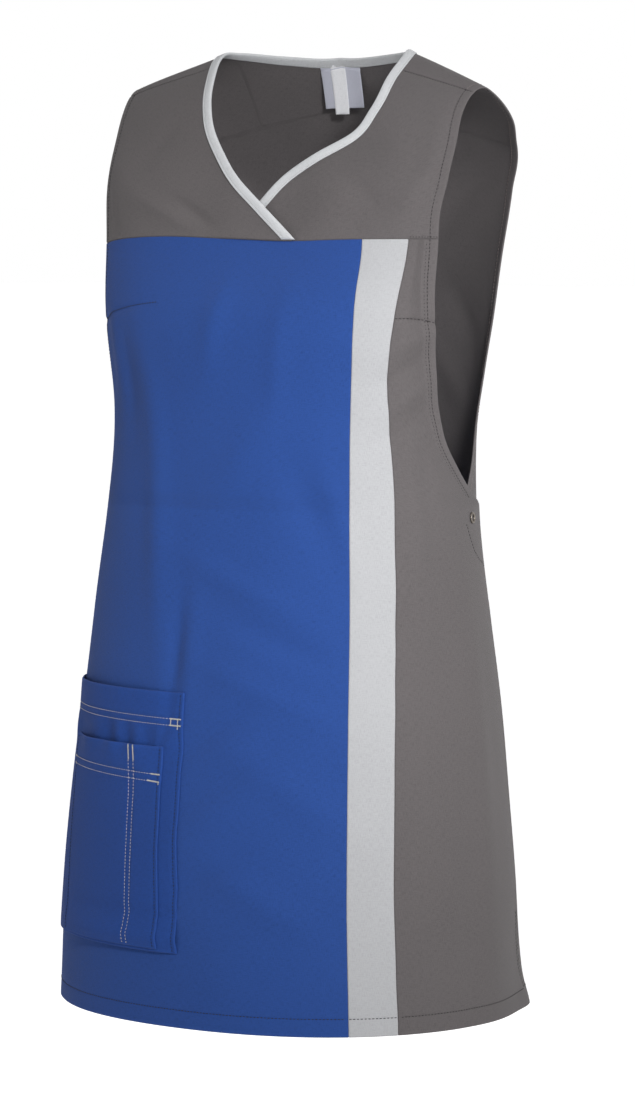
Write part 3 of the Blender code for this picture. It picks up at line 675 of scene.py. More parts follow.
def yoke_drape(side, angle, level):
    """The right yoke is lifted, and the left one pressed in, where they cross at the V."""
    worn = uneven(angle, level) + soft_folds(YOKE_FOLDS[side], angle, level) * ease(level, 7.0, 7.15)
    if side == "right":
        along = 0.6 + 0.4 * ease(level, 7.0, 7.5)
        return YOKE_CROSSING * ease(angle, -17.0, -6.0) * along * ease(level, 8.9, 8.0) + worn
    return -YOKE_CROSSING * ease(angle, 17.0, 7.0) * ease(level, 8.7, 8.0) + worn


def neck_cloth(part, angle, level):
    """The cloth beside the neckline: the back, or a front yoke with its lift."""
    lift = back_drape(angle, level) if part == "back" else yoke_drape(part, angle, level)
    return on_form(angle, level) + normal_at(angle, level) * lift[..., None]


def neck_normal(part, angle, level):
    return unit(np.cross(*slopes(partial(neck_cloth, part), angle, level)))


def neck_marks(part, at):
    """Angles and levels on the neckline. The fronts are told by level, the back neck by angle."""
    at = np.asarray(at, float)
    return (at, neck_back(at)) if part == "back" else (neck_front(part, at), at)


# Steps along the neckline, in level or angle, that keep the cloth on one hand
NECK_STEPS = {"right": 0.02, "back": -0.3, "left": -0.02}


def into_cloth(part, at, distance):
    """Angles and levels of the places on the cloth at a distance from the neckline, mm."""
    angle, level = neck_marks(part, at)
    cloth, step = partial(neck_cloth, part), NECK_STEPS[part]
    along = unit(cloth(*neck_marks(part, at + step)) - cloth(*neck_marks(part, at - step)))
    goal = cloth(angle, level) + distance * unit(np.cross(neck_normal(part, angle, level), along))
    return settle(goal, angle, level, cloth, 6, 3, 0.12)


# Distances from an edge, mm, that get a column of their own
BESIDE_TURNING = (0, 0.7, 1.8, 3.4, 4.9, 5.7, 6.2, 6.7, 7.5, 9, 12)
BESIDE_SEAM = (0, 0.3, 0.7, 1.1, 1.6, 2.6, 4.4, 7)
BESIDE_HEM = (0, 0.7, 1.8, 4, 7, 10, 12, 13.1, 13.8, 14.2, 14.9, 16, 18.5)
BESIDE_BINDING = (0, 1.6, 3.6)
TURNING = 6.2            # width of the armholes' turning, to its stitching
HEM = 14.0               # and of the hem
SLIT_TURNING = 3.2       # and of the slits
NECK_INSET = 2.4         # the cloth's raw neck edge stops this far inside the binding's fold

GREY = (0.112, 0.102, 0.104)
GREY_SHADE = (0.052, 0.047, 0.048)
grey_twill = twill("grey_twill", GREY, GREY_SHADE)
grey_thread = twill("grey_thread", (0.020, 0.018, 0.019), (0.010, 0.009, 0.009), roughness=0.6)
pale_thread = twill("pale_thread", (0.200, 0.170, 0.166), (0.130, 0.110, 0.108), roughness=0.6)

neck_count, strap_count = 74, 24
corner_left, corner_right = NECK_BACK[0, 0], NECK_BACK[-1, 0]
neck_angles = corner_left + (corner_right - corner_left) * np.linspace(0, 1, neck_count + 1)
neck_top = into_cloth("back", np.clip(neck_angles, corner_left + 0.05, corner_right - 0.05), NECK_INSET)

back_hem = level_line(0, SIDE_ANGLE, 360 - SIDE_ANGLE, 240)
back_hem_row = beside(back_hem, HEM)
hole_levels = np.linspace(4.22, 2 * RIDGE - SEAM_TIP_LEVEL, 260)
slit_levels = np.linspace(0, SLIT_LEVEL, 40)
back_holes, back_hole_rows, back_slits, back_slit_rows = {}, {}, {}, {}
for side, turn, seam_angle in (("left", -1, SIDE_ANGLE), ("right", 1, 360 - SIDE_ANGLE)):
    back_holes[side] = (back_armhole(side, hole_levels), hole_levels)
    back_hole_rows[side] = beside(back_holes[side], TURNING * turn)
    back_slits[side] = (np.full(40, seam_angle), slit_levels)
    back_slit_rows[side] = beside(back_slits[side], SLIT_TURNING * turn)

# Up to the blades: rows from edge to edge, whose columns fan out into the straps and the middle
body_levels = levels_up(180, 0, BLADE_LEVEL, BESIDE_HEM, (0,))
body_levels = with_close_rows(body_levels, LAP_LEVEL - 0.06, LAP_LEVEL + 0.06, 0.012)
body_levels = with_close_rows(body_levels, 4.16, 4.75, 0.03)
blades = {}
for side, corner in (("left", corner_left), ("right", corner_right)):
    outer = ([back_edge(side, BLADE_LEVEL)], [BLADE_LEVEL])
    blades[side] = lay_across(side == "left", outer, ([corner], [BLADE_LEVEL]), BESIDE_TURNING, (0,),
                              strap_count)[0][0]
blade_angles = np.concatenate([blades["left"], neck_angles[1:-1], blades["right"]])
blade_run = run_along(on_form(blade_angles, np.full(len(blade_angles), BLADE_LEVEL)))
low, high = BESIDE_TURNING[-1], blade_run[-1] - BESIDE_TURNING[-1]
shares = (blade_run[len(BESIDE_TURNING):-len(BESIDE_TURNING)] - low) / (high - low)
body_edges = [(back_edge(side, body_levels), body_levels) for side in ("left", "right")]
angle, level = lay_rows(*body_edges, BESIDE_TURNING, BESIDE_TURNING, 0, shares)
angle[-1] = blade_angles
seam_rows = ((body_levels > SLIT_LEVEL) & (body_levels < LAP_LEVEL - 0.04)).astype(float)[:, None]
back_turned = [(back_hem, HEM)] + [(back_holes[side], TURNING) for side in back_holes]
back_turned += [(back_slits[side], SLIT_TURNING) for side in back_slits]
back_panels = [panel(angle, level, back_drape, sewn=(("left", seam_rows), ("right", seam_rows)),
                     turned=back_turned,
                     stitched=(back_hem_row, *back_hole_rows.values(), *back_slit_rows.values()))]

# Above the blades: the middle runs up to the back neckline, the straps over the shoulders
rise = np.concatenate([np.linspace(0, 0.86, 22), np.linspace(0.86, 1, 9)[1:]])[:, None]
middle_angle = neck_angles + (neck_top[0] - neck_angles) * rise
middle_level = BLADE_LEVEL + (neck_top[1] - BLADE_LEVEL) * rise
back_panels.append(panel(middle_angle, middle_level, back_drape))
past = np.concatenate([np.linspace(0, 1, 20)[1:-1], [0.985, 0.993, 0.997, 1.0]])
for side, column in (("left", 0), ("right", -1)):
    inset_angle, inset_level = into_cloth(side, RIDGE - past * (RIDGE - SEAM_NECK_LEVEL), NECK_INSET)
    inner_angle = np.concatenate([middle_angle[:, column], 180 - inset_angle])
    inner_level = np.concatenate([middle_level[:, column], 2 * RIDGE - inset_level])
    inner_level[-1] = 2 * RIDGE - SEAM_NECK_LEVEL
    outer_level = np.concatenate([BLADE_LEVEL + (RIDGE - BLADE_LEVEL) * rise[:, 0],
                                  RIDGE + past * (RIDGE - SEAM_TIP_LEVEL)])
    outer = (back_armhole(side, outer_level), outer_level)
    angle, level = lay_across(side == "left", outer, (inner_angle, inner_level), BESIDE_TURNING, (0,),
                              strap_count)
    back_panels.append(panel(angle, level, back_drape, sewn=(("top", 1.0),),
                             turned=((back_holes[side], TURNING),), stitched=(back_hole_rows[side],)))

back = make_cloth("back_cloth", back_panels, grey_twill)
back_sewing = body_row(back_hem_row, back_drape, 0.012, 0.988)
for line in back_slit_rows.values():
    back_sewing += body_row(line, back_drape, 0.18, 1.0)
back_stitches = threads("back_stitches", back_sewing, grey_thread)
# The armholes' row shows as light dots on the inside
back_hole_sewing = [row for line in back_hole_rows.values() for row in body_row(line, back_drape)]
back_hole_stitches = threads("back_armhole_stitches", back_hole_sewing, pale_thread)

for piece in (back, back_stitches, back_hole_stitches):
    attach(piece, "root")
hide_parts("back")


# ================================================================ Front: main, stripe and side panels
# Three panels of twill sewn edge to edge: a wide blue one that carries the pockets, a narrow light
# stripe, and a grey one to the wearer's left side seam. A dart from each armhole shapes the bust. The
# seams are pressed in, the armholes and slits are turned in and topstitched, the hem is turned up.

STRIPE_COLUMNS = ("level", "inner", "outer")
STRIPE = np.array((
    (0.00, 39.3, 51.8),
    (1.00, 39.6, 52.0),
    (2.20, 40.0, 53.3),
    (2.90, 40.4, 54.2),
    (3.60, 40.4, 55.1),
    (4.35, 39.7, 54.2),
    (4.75, 38.9, 52.3),
    (5.15, 38.0, 49.8),
    (5.55, 37.0, 48.2),
    (6.00, 35.4, 47.2),
    (6.45, 33.1, 45.5),
    (7.00, 30.2, 42.7),
))
# Darts: level and angle at the armhole, level and angle at the point
DARTS = {
    "right": (5.95, -62.5, 6.17, -25.8),
    "left": (5.96, 62.0, 6.01, 47.2),
}
FRONT_FOLDS = (
    (-10, 2.72, 2.2, 0.42, 0, -2.4),       # above the big pocket's corner
    (-5, 2.75, 3.0, 0.5, 0, 1.3),
    (-6, 5.95, 4.0, 0.5, 3, 2.0),          # under the bust
    (-25, 4.6, 5.0, 1.1, -6, 2.6),
    (-20, 3.4, 4.5, 0.9, -5, 1.7),
    (-40, 5.3, 4.0, 0.6, -4, -1.6),
    (15, 5.6, 3.5, 0.7, 0, 1.4),
    (27, 4.15, 6.0, 0.45, -14, -2.3),      # across the middle
    (37, 4.0, 4.0, 0.5, -10, 1.5),
    (6, 4.6, 7.0, 0.5, 12, 1.4),
    (8, 3.35, 8.0, 0.26, -60, 2.0),
    (22, 2.85, 8.0, 0.24, -60, -2.0),
    (16, 2.45, 8.0, 0.24, -70, 1.8),
    (2, 2.1, 6.0, 0.22, 45, -2.4),         # beside the pockets
    (8, 1.6, 7.0, 0.25, 50, 2.6),
    (24, 1.75, 8.0, 0.3, -50, 2.3),
    (3, 1.15, 6.0, 0.2, 50, -2.2),
    (18, 1.0, 8.0, 0.25, -50, 2.2),
    (30, 0.8, 7.0, 0.25, 45, -2.0),
    (54, 5.74, 4.5, 0.14, 45, 2.0),        # under the left armhole
    (53, 5.45, 4.5, 0.16, 45, -2.4),
    (56, 5.16, 4.5, 0.17, 45, 2.0),
    (55, 4.85, 5.5, 0.20, 45, -1.7),
    (60, 2.8, 5.0, 1.2, 3, 1.5),
    (68, 4.3, 4.0, 0.8, -6, -1.5),
    (88, 1.9, 6.0, 1.4, 0, 1.9),
    (78, 0.9, 5.0, 0.8, 3, -1.4),
)

BLUE = (0.0198, 0.0618, 0.246)
BLUE_SHADE = (0.0079, 0.0289, 0.125)
LIGHT = (0.400, 0.404, 0.418)
LIGHT_SHADE = (0.262, 0.265, 0.277)
FREE_EDGE_TURNING = 12.0     # at the side opening
DART_DIP = 1.0               # a dart's fold is pressed in this far
SECOND_ROW = 2.7             # from the armholes' row of stitches to the next
blue_twill = twill("blue_twill", BLUE, BLUE_SHADE, sheen=0.04, gloss=0.15)
light_twill = twill("light_twill", LIGHT, LIGHT_SHADE)


def stripe_edge(column, level):
    return look_up(STRIPE, STRIPE_COLUMNS.index(column), level)


def front_edge(side, level):
    """The front's outer edge: side seam, its free edge over the underlap, the corner, the armhole."""
    top = ARMHOLE[0, 0]
    corner = np.clip((level - CORNER_LEVEL) / (top - CORNER_LEVEL), 0, 1)
    lower = SIDE_ANGLE + (ARMHOLE[0, 1] - SIDE_ANGLE) * corner
    edge = np.where(level < top, lower, armhole("front_" + side, level))
    return edge if side == "left" else -edge


def dart_line(dart):
    """A dart from its point to the armhole, with a slight curve."""
    level_out, angle_out, level_in, angle_in = dart
    along = np.linspace(0, 1, 90)
    sag = 0.02 * np.sin(math.pi * along)
    return angle_in + (angle_out - angle_in) * along, level_in + (level_out - level_in) * along + sag


def front_drape(angle, level):
    """The skirt's fall, the darts' pressed folds, a soft fold below the right dart, ripples along the
    stripe's seams, and the panels' own folds."""
    out = skirt_drape(angle, level)
    for dart in DARTS.values():
        level_out, angle_out, level_in, angle_in = dart
        along = np.clip((angle - angle_in) / (angle_out - angle_in), 0, 1.05)
        line = level_in + (level_out - level_in) * along
        out = out - DART_DIP * ease(along, 0, 0.5) * ease(np.abs(level - line), 0.06, 0)
    fold = 1.5 * bump(angle, -45, 5) - 2.0 * bump(angle, -55, 5)
    out = out + fold * ease(level, 4.9, 5.5) * ease(level, 6.3, 5.8)
    wave = 0.55 * np.sin(9.5 * level + 1.7 * np.sin(2.3 * level))
    out = out + wave * (bump(angle, stripe_edge("outer", level) + 1.5, 3.2)
                        - 0.8 * bump(angle, stripe_edge("inner", level) - 1.0, 3.0)) * ease(level, 7.0, 6.7)
    return out + soft_folds(FRONT_FOLDS, angle, level) * ease(level, 7.0, 6.8) * ease(np.abs(angle), 113, 106)


front_levels = levels_up(0, 0, YOKE_LEVEL, BESIDE_HEM, BESIDE_SEAM)
front_levels = with_close_rows(front_levels, CORNER_LEVEL - 0.02, 4.26, 0.014)
front_levels = with_close_rows(front_levels, 5.92, 6.2, 0.02)       # at the darts
hole_levels = np.linspace(ARMHOLE[0, 0], YOKE_LEVEL, 120)
free_levels = np.linspace(LAP_LEVEL, CORNER_LEVEL, 40)
corner_levels = np.linspace(CORNER_LEVEL, ARMHOLE[0, 0], 60)
# The side opening's stitching hooks round from the stud to the side seam: angle, level
HOOK = np.array(((92.0, 3.90), (93.0, 3.87), (95.0, 3.76), (97.5, 3.64), (101.6, 3.55), (109.0, 3.48),
                 (112.0, 3.46)))
hook_angle, hook_level = between(np.linspace(0, 1, 80), np.linspace(0, 1, len(HOOK)), HOOK).T
front_lines = {"hem": level_line(0, -SIDE_ANGLE, SIDE_ANGLE, 240)}
front_lines["hem stitching"] = beside(front_lines["hem"], HEM)
for side, turn in (("left", 1), ("right", -1)):
    front_lines[side + " armhole"] = (front_edge(side, hole_levels), hole_levels)
    front_lines[side + " armhole stitching"] = beside(front_lines[side + " armhole"], TURNING * turn)
    front_lines[side + " corner"] = (front_edge(side, corner_levels), corner_levels)
    front_lines[side + " free edge"] = (np.full(40, SIDE_ANGLE * turn), free_levels)
    front_lines[side + " slit"] = (np.full(40, SIDE_ANGLE * turn), slit_levels)
    front_lines[side + " slit stitching"] = beside(front_lines[side + " slit"], SLIT_TURNING * turn)
    front_lines[side + " hook"] = (hook_angle * turn, hook_level)
    front_lines[side + " dart"] = dart_line(DARTS[side])

# A side edge is sewn except at its slit and its side opening
sewn_rows = ((front_levels > SLIT_LEVEL) & (front_levels < LAP_LEVEL)).astype(float)[:, None]

# Each panel: the side it reaches, its cloth, and its columns between the two edges
FRONT_PANELS = {
    "main": ("right", blue_twill, 104),
    "stripe": (None, light_twill, 8),
    "side": ("left", grey_twill, 40),
}
# Its slot, flat width and length (m), area (m2), and what it hangs from
FRONT_CUT = {
    "main": ("blue_twill", (0.500, 0.684), 0.2586, ["front_yoke_right", "front_yoke_left"]),
    "stripe": ("light_twill", (0.0415, 0.650), 0.0241, ["front_yoke_left"]),
    "side": ("grey_twill", (0.185, 0.682), 0.0778, ["front_yoke_left"]),
}
panel_edges = [(edge, front_levels) for edge in (
    front_edge("right", front_levels), stripe_edge("inner", front_levels),
    stripe_edge("outer", front_levels), front_edge("left", front_levels))]
beside_edges = [BESIDE_TURNING, BESIDE_SEAM, BESIDE_SEAM, BESIDE_TURNING]
# The hem's row runs to 1.5 degrees from the side seams
hem_stops = [-SIDE_ANGLE + 1.5, panel_edges[1][0][0], panel_edges[2][0][0], SIDE_ANGLE - 1.5]
hem_angle, hem_level = front_lines["hem stitching"]
front_pieces, front_sewing = {}, {}
for k, (name, (side, cloth, columns)) in enumerate(FRONT_PANELS.items()):
    sewn = {"left": 1.0, "right": 1.0, "top": 1.0}
    turned, stitched = [(front_lines["hem"], HEM)], [front_lines["hem stitching"]]
    there = (hem_angle > hem_stops[k]) & (hem_angle < hem_stops[k + 1])
    sewing = body_row((hem_angle[there], hem_level[there]), front_drape)
    if side:
        sewn["left" if k == 0 else "right"] = sewn_rows
        hole, slit = front_lines[side + " armhole"], front_lines[side + " slit"]
        hole_row, slit_row, hook, dart = (front_lines[side + row] for row in (
            " armhole stitching", " slit stitching", " hook", " dart"))
        turned += [(hole, TURNING), (front_lines[side + " corner"], TURNING),
                   (front_lines[side + " free edge"], FREE_EDGE_TURNING), (slit, SLIT_TURNING)]
        stitched += [hole_row, slit_row, hook, dart]
        second_row = beside(hole, (TURNING + SECOND_ROW) * (1 if side == "left" else -1))
        sewing += body_row(hole_row, front_drape) + body_row(second_row, front_drape, 0.02, 0.98, gap=2.0)
        sewing += body_row(slit_row, front_drape, 0.18, 1.0)
        sewing += body_row(hook, front_drape) + body_row(dart, front_drape)
    angle, level = lay_rows(panel_edges[k], panel_edges[k + 1], beside_edges[k], beside_edges[k + 1], columns)
    front_panel = panel(angle, level, front_drape, sewn=sewn.items(), turned=turned, stitched=stitched)
    front_pieces[name] = make_cloth("front_{}_cloth".format(name), [front_panel], cloth)
    front_sewing[name] = sewing

for name, (slot, flat, area, held_by) in FRONT_CUT.items():
    piece = front_pieces[name]
    stitches = threads("front_{}_stitches".format(name), front_sewing[name], grey_thread)
    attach(piece, "root")
    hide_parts("front_" + name)
    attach(stitches, "root")


# ================================================================ Front yokes
# Two grey twill yokes, sewn to the front panels below and to the back at the shoulders. They cross at
# the bottom of the V, the wearer's right one over the left.

# Each yoke: columns, then its flat width and length (m), area (m2)
YOKES = {"right": (40, (0.213, 0.209), 0.0211), "left": (34, (0.185, 0.210), 0.0173)}
YOKE_ROWS_MM = 240       # a yoke's height, for its close rows beside the seams
near_seam = np.array(BESIDE_SEAM) / YOKE_ROWS_MM
yoke_rise = np.concatenate([near_seam, np.linspace(0.045, 0.955, 44), 1 - near_seam[::-1]])
for side, turn in (("right", -1), ("left", 1)):
    columns, flat, area = YOKES[side]
    drape = partial(yoke_drape, side)
    hole_level = YOKE_LEVEL + (SEAM_TIP_LEVEL - YOKE_LEVEL) * yoke_rise
    hole_angle = armhole("front_" + side, hole_level) * turn
    neck_at = np.linspace(YOKE_LEVEL, SEAM_NECK_LEVEL + 0.06, 500)
    inset_angle, inset_level = into_cloth(side, neck_at, NECK_INSET)
    neck_level = YOKE_LEVEL + (SEAM_NECK_LEVEL - YOKE_LEVEL) * yoke_rise
    neck_angle = np.interp(neck_level, inset_level, inset_angle)
    angle, level = lay_across(side == "right", (hole_angle, hole_level), (neck_angle, neck_level),
                              BESIDE_TURNING, BESIDE_BINDING, columns)
    hole_levels = np.linspace(YOKE_LEVEL, SEAM_TIP_LEVEL, 160)
    hole = (armhole("front_" + side, hole_levels) * turn, hole_levels)
    hole_row = beside(hole, TURNING * turn)
    crest = (np.linspace(hole_angle[-1], neck_angle[-1], 120),
             np.linspace(hole_level[-1], neck_level[-1], 120) - 0.03)
    yoke_panel = panel(angle, level, drape, sewn=(("bottom", 1.0), ("top", 1.0)),
                       turned=[(hole, TURNING)], stitched=(hole_row,))
    yoke = make_cloth("front_yoke_{}_cloth".format(side), [yoke_panel], grey_twill)
    sewing = body_row(hole_row, drape)
    if side == "left":
        foot = level_line(YOKE_LEVEL + 0.028, hole_angle[0], stripe_edge("outer", YOKE_LEVEL), 40)
        sewing += body_row(foot, drape, pitch=2.2)
    sewing += body_row(crest, drape, 0.02, 0.9, 2.4)
    stitches = threads("yoke_{}_stitches".format(side), sewing, grey_thread)
    for piece in (yoke, stitches):
        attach(piece, "root")
    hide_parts("front_yoke_" + side)


# ================================================================ Neck binding
# A light grey twill strip folded over the raw neck edge, from the yoke seam on the right front round
# the back neck to the yoke seam on the left front, and stitched through near its inner edge.

BINDING_LIGHT = (0.515, 0.525, 0.540)
BINDING_SHADE = (0.365, 0.373, 0.385)
binding_twill = twill("binding", BINDING_LIGHT, BINDING_SHADE)
binding_thread = twill("binding_thread", (0.560, 0.565, 0.575), (0.420, 0.425, 0.435), roughness=0.6)

# The fold in cross-section, mm: how far into the cloth from the neckline, and how far off the form
BINDING_OUTSIDE = np.array((
    (8.5, 0.60), (8.7, 1.10), (8.5, 1.62), (7.9, 1.86), (7.4, 1.80), (7.0, 1.48), (6.65, 1.80),
    (5.8, 1.96), (4.5, 2.04), (3.1, 2.04), (1.9, 1.94), (1.0, 1.60), (0.5, 1.00), (0.4, 0.35),
    (0.5, -0.25), (1.0, -0.75), (1.9, -1.06), (3.1, -1.20), (4.5, -1.24), (6.65, -1.20), (7.9, -1.14),
    (8.5, -0.95), (8.66, -0.65), (8.5, -0.42),
))
BINDING_INSIDE = np.array(((6.9, -0.40), (4.5, -0.40), (2.5, -0.38), (2.26, 0.10), (2.5, 0.56), (4.5, 0.58),
                           (6.9, 0.58)))
BINDING_SET = {"right": -0.4, "back": 0.5, "left": 0.0}     # how much further in it lies on each part
BINDING_ROW = 7.0        # its stitching lies this far from the fold
BINDING_SPACING = 2.0    # between its stations

neck_runs = (
    ("right", np.linspace(YOKE_LEVEL + 0.004, RIDGE - 0.03, 190)),
    ("back", np.linspace(NECK_BACK[-1, 0] - 0.12, NECK_BACK[0, 0] + 0.12, 190)),
    ("left", np.linspace(RIDGE - 0.03, YOKE_LEVEL + 0.004, 190)),
)
profile = np.concatenate([BINDING_OUTSIDE, BINDING_INSIDE])
wanted = np.unique(profile[:, 0])


def ended_level(part, at, into):
    """The binding's ends run level along the yoke seam, so a layer starts a little higher or lower."""
    if part == "back":
        return at
    low = np.linspace(YOKE_LEVEL, YOKE_LEVEL + 0.4, 60)
    _, found = into_cloth(part, low, max(into, 0.0))
    start = np.interp(YOKE_LEVEL + 0.004, found, low)
    return at + (start - YOKE_LEVEL) * ease(at, YOKE_LEVEL + 0.55, YOKE_LEVEL)


layers = {into: [] for into in wanted}
for part, at in neck_runs:
    for into in wanted:
        inset = into + BINDING_SET[part]
        mark = into_cloth(part, ended_level(part, at, inset), inset)
        layers[into].append(np.concatenate([neck_cloth(part, *mark), neck_normal(part, *mark)], axis=1))
layers = {into: np.concatenate(rows) for into, rows in layers.items()}
laid_run = run_along(layers[wanted[1]][:, :3])
neck_run = np.linspace(0, laid_run[-1], int(laid_run[-1] / BINDING_SPACING))


def evened(rows):
    """Places and normals laid evenly along the strip, with their jumps at the shoulders smoothed."""
    rows = between(neck_run, laid_run, rows)
    for _ in range(4):
        rows[1:-1] = rows[1:-1] * 0.5 + (rows[:-2] + rows[2:]) * 0.25
    return rows[:, :3], unit(rows[:, 3:])


from_end = np.minimum(neck_run, neck_run[-1] - neck_run)
columns = []
for into, off in profile:
    places, normals = evened(layers[into])
    ripple = 0.10 * np.sin(2 * math.pi * neck_run / 7.3 + 1.5 * np.sin(neck_run / 31)) * bump(into, 6.4, 1.9)
    ripple = ripple + 0.12 * np.sin(neck_run / 23 + 0.4 * into)
    pressed = off * (0.30 + 0.70 * ease(from_end, 0, 3.5))
    stand = pressed + np.sign(off) * ripple * (abs(off) > 0.7)
    columns.append(places + normals * stand[:, None])
ring = np.stack(columns, axis=1)
index = np.arange(ring.shape[0] * ring.shape[1]).reshape(ring.shape[:2])
after = np.roll(index, -1, axis=1)
walls = np.stack([index[:-1], after[:-1], after[1:], index[1:]], -1).reshape(-1, 4)
flat = np.stack(np.meshgrid(run_along(profile), neck_run), -1).reshape(-1, 2)
# The binding's fold and outer edge are painted paler: partly wear, partly a painted highlight
edge = np.tile(bump(profile[:, 0], 0.4, 1.4) * 0.8 + bump(profile[:, 0], 8.6, 0.5), len(neck_run))
binding = add_mesh("neck_binding_cloth", ring.reshape(-1, 3),
                   walls.tolist() + [index[0, ::-1].tolist(), index[-1].tolist()],
                   binding_twill, flat, edge)
places, normals = evened(layers[BINDING_ROW])
sewing = [sewn_row(places + normals * 1.60, normals, 2.9), sewn_row(places - normals * 1.10, -normals, 2.9)]
binding_stitches = threads("binding_stitches", sewing, binding_thread, 0.2)
for piece in (binding, binding_stitches):
    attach(piece, "root")
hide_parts("neck_binding")


# ================================================================ Pockets
# Two blue twill patch pockets in layers on the right front: a deep one from the side nearly to the
# middle, and a smaller one over it. Each has a hem along its mouth with two rows of beige stitching
# and dense tacks at its corners. Two more rows run down the small pocket and divide it.

POCKETS = {
    "big": {"bottom": 0.575, "top": 2.41, "outer": (-65.0, -66.0), "inner": (-3.4, -5.6)},
    "small": {"bottom": 0.60, "top": 1.985, "outer": (-46.5, -51.0), "inner": (-8.6, -10.8)},
}
POCKET_BLUE = (0.0162, 0.0555, 0.238)
POCKET_SHADE = (0.0064, 0.0256, 0.120)
pocket_twill = twill("pocket_twill", POCKET_BLUE, POCKET_SHADE, sheen=0.03, gloss=0.14)
beige_thread = twill("beige_thread", (0.520, 0.500, 0.450), (0.380, 0.360, 0.310), roughness=0.6)
navy_thread = twill("navy_thread", (0.010, 0.016, 0.040), (0.005, 0.008, 0.020), roughness=0.6)


def pocket_sides(name, up):
    """The angles of a pocket's outer and inner side, at a height from 0 bottom to 1 top."""
    return (start + (end - start) * up for start, end in (POCKETS[name]["outer"], POCKETS[name]["inner"]))


def pocket_marks(name, across, up):
    """The angle and level of a place on a pocket: across 0 outer edge, 1 inner; up 0 bottom, 1 top."""
    pocket = POCKETS[name]
    outer, inner = pocket_sides(name, up)
    return outer + (inner - outer) * across, pocket["bottom"] + (pocket["top"] - pocket["bottom"]) * up


def pocket_shares(name, angle, level):
    """The same the other way: how far across and up a pocket an angle and level are."""
    pocket = POCKETS[name]
    up = (level - pocket["bottom"]) / (pocket["top"] - pocket["bottom"])
    outer, inner = pocket_sides(name, up)
    return (angle - outer) / (inner - outer), up


def big_drape(angle, level):
    """The big pocket lies on the panel, gapes a little at its mouth and bags at its foot."""
    across, up = pocket_shares("big", angle, level)
    gape = 4.0 * np.sin(math.pi * np.clip(across, 0, 1)) * ease(up, 0.78, 1.0)
    pouch = 2.0 * ease(up, 0.22, 0.0) * ease(across, 0.0, 0.3) * ease(across, 1.0, 0.9)
    pouch = pouch + 2.4 * bump(up, 0.055, 0.034) * ease(across, 0.2, 0.55)
    pouch = pouch - 1.2 * bump(up - 0.03 * across, 0.125, 0.024) * ease(across, 0.2, 0.55)
    waves = np.sin(across * 34 + 2.2 * np.sin(across * 9))
    ruffle = 1.3 * waves * bump(up, 0.80, 0.06) * ease(across, 0, 0.1) + 0.2 * waves * ease(up, 0.9, 1.0)
    crease = -1.3 * bump(across - 0.25 * (up - 0.8), 0.90, 0.022) * bump(up, 0.80, 0.10)
    return front_drape(angle, level) + 1.8 + gape + pouch + ruffle + crease


def small_drape(angle, level):
    """The small pocket lies on the big one and gapes a little more."""
    across, up = pocket_shares("small", angle, level)
    gape = 4.4 * np.sin(math.pi * np.clip(across, 0, 1)) * ease(up, 0.74, 1.0)
    ruffle = 0.35 * np.sin(across * 23 + 1.7) * ease(up, 0.84, 0.97)
    seat = -0.5 * bump(across, 0.755, 0.03) * ease(up, 0.1, 0.4)
    return big_drape(angle, level) + 1.7 + gape + ruffle + seat


def pocket_line(name, across, up, count=260):
    """A straight line on a pocket between two (across, up) places."""
    part = np.linspace(0, 1, count)
    return pocket_marks(name, across[0] + (across[1] - across[0]) * part, up[0] + (up[1] - up[0]) * part)


# Width along the mouth and height along the inner side, mm
POCKET_SIZE = {name: [run_along(on_form(*pocket_line(name, across, up)))[-1]
                      for across, up in (((0, 1), (1, 1)), ((1, 1), (0, 1)))] for name in POCKETS}
# How far below the mouth its two rows lie, mm, at the outer and the inner end
POCKET_ROWS = {"big": ((21.0, 23.6), (26.8, 29.4)), "small": ((19.0, 22.6), (24.8, 28.4))}
POCKET_INSET = 2.6       # and how far the side rows lie from the edge
POCKET_TURNING = 6.0
BESIDE_POCKET = np.array((0, 0.5, 1.2, 2.0, 2.6, 3.2, 4.5, 7))
# The small pocket's dividing rows start this share of the way across, and lie this far apart, mm
DIVIDER = 0.739
DIVIDER_GAP = 5.6
# Dense tacks: pocket, then share across and mm below the mouth of both ends, and the zigzag's width, mm
TACKS = (
    ("big", 0.933, 23.3, 0.996, 23.5, 1.3),
    ("big", 0.933, 29.1, 0.996, 29.3, 1.3),
    ("big", 0.940, 23.0, 0.940, 29.4, 1.1),
    ("big", 0.978, 23.0, 0.978, 33.0, 0.9),
    ("small", 0.925, 22.3, 0.996, 22.5, 1.4),
    ("small", 0.900, 27.8, 0.996, 28.6, 1.4),
    ("small", 0.988, 28.0, 0.988, 31.0, 0.9),
    ("small", 0.0, 18.6, 0.035, 19.4, 1.3),
    ("small", 0.0, 24.4, 0.035, 25.4, 1.3),
    ("small", DIVIDER, -0.2, DIVIDER + 0.002, 13.0, 1.4),
    ("small", DIVIDER + 0.044, -0.2, DIVIDER + 0.046, 13.0, 1.4),
)


def tack(name, drape, start, end, spread, pitch=0.55):
    """A dense zigzag tack between two places on a pocket: (across, up) in shares, spread in mm."""
    places, normals = on_cloth(pocket_line(name, (start[0], end[0]), (start[1], end[1]), 40), drape, sunk=0.0)
    run = run_along(places)
    steps = np.arange(0, run[-1], pitch)
    marks, ups = between(steps, run, places), unit(between(steps, run, normals))
    crosswise = unit(np.cross(ups, np.gradient(marks, axis=0)))
    swing = np.where(np.arange(len(marks)) % 2 == 0, 1.0, -1.0)[:, None] * spread / 2
    zig = marks + crosswise * swing
    return zig[:-1], zig[1:], ups[1:]


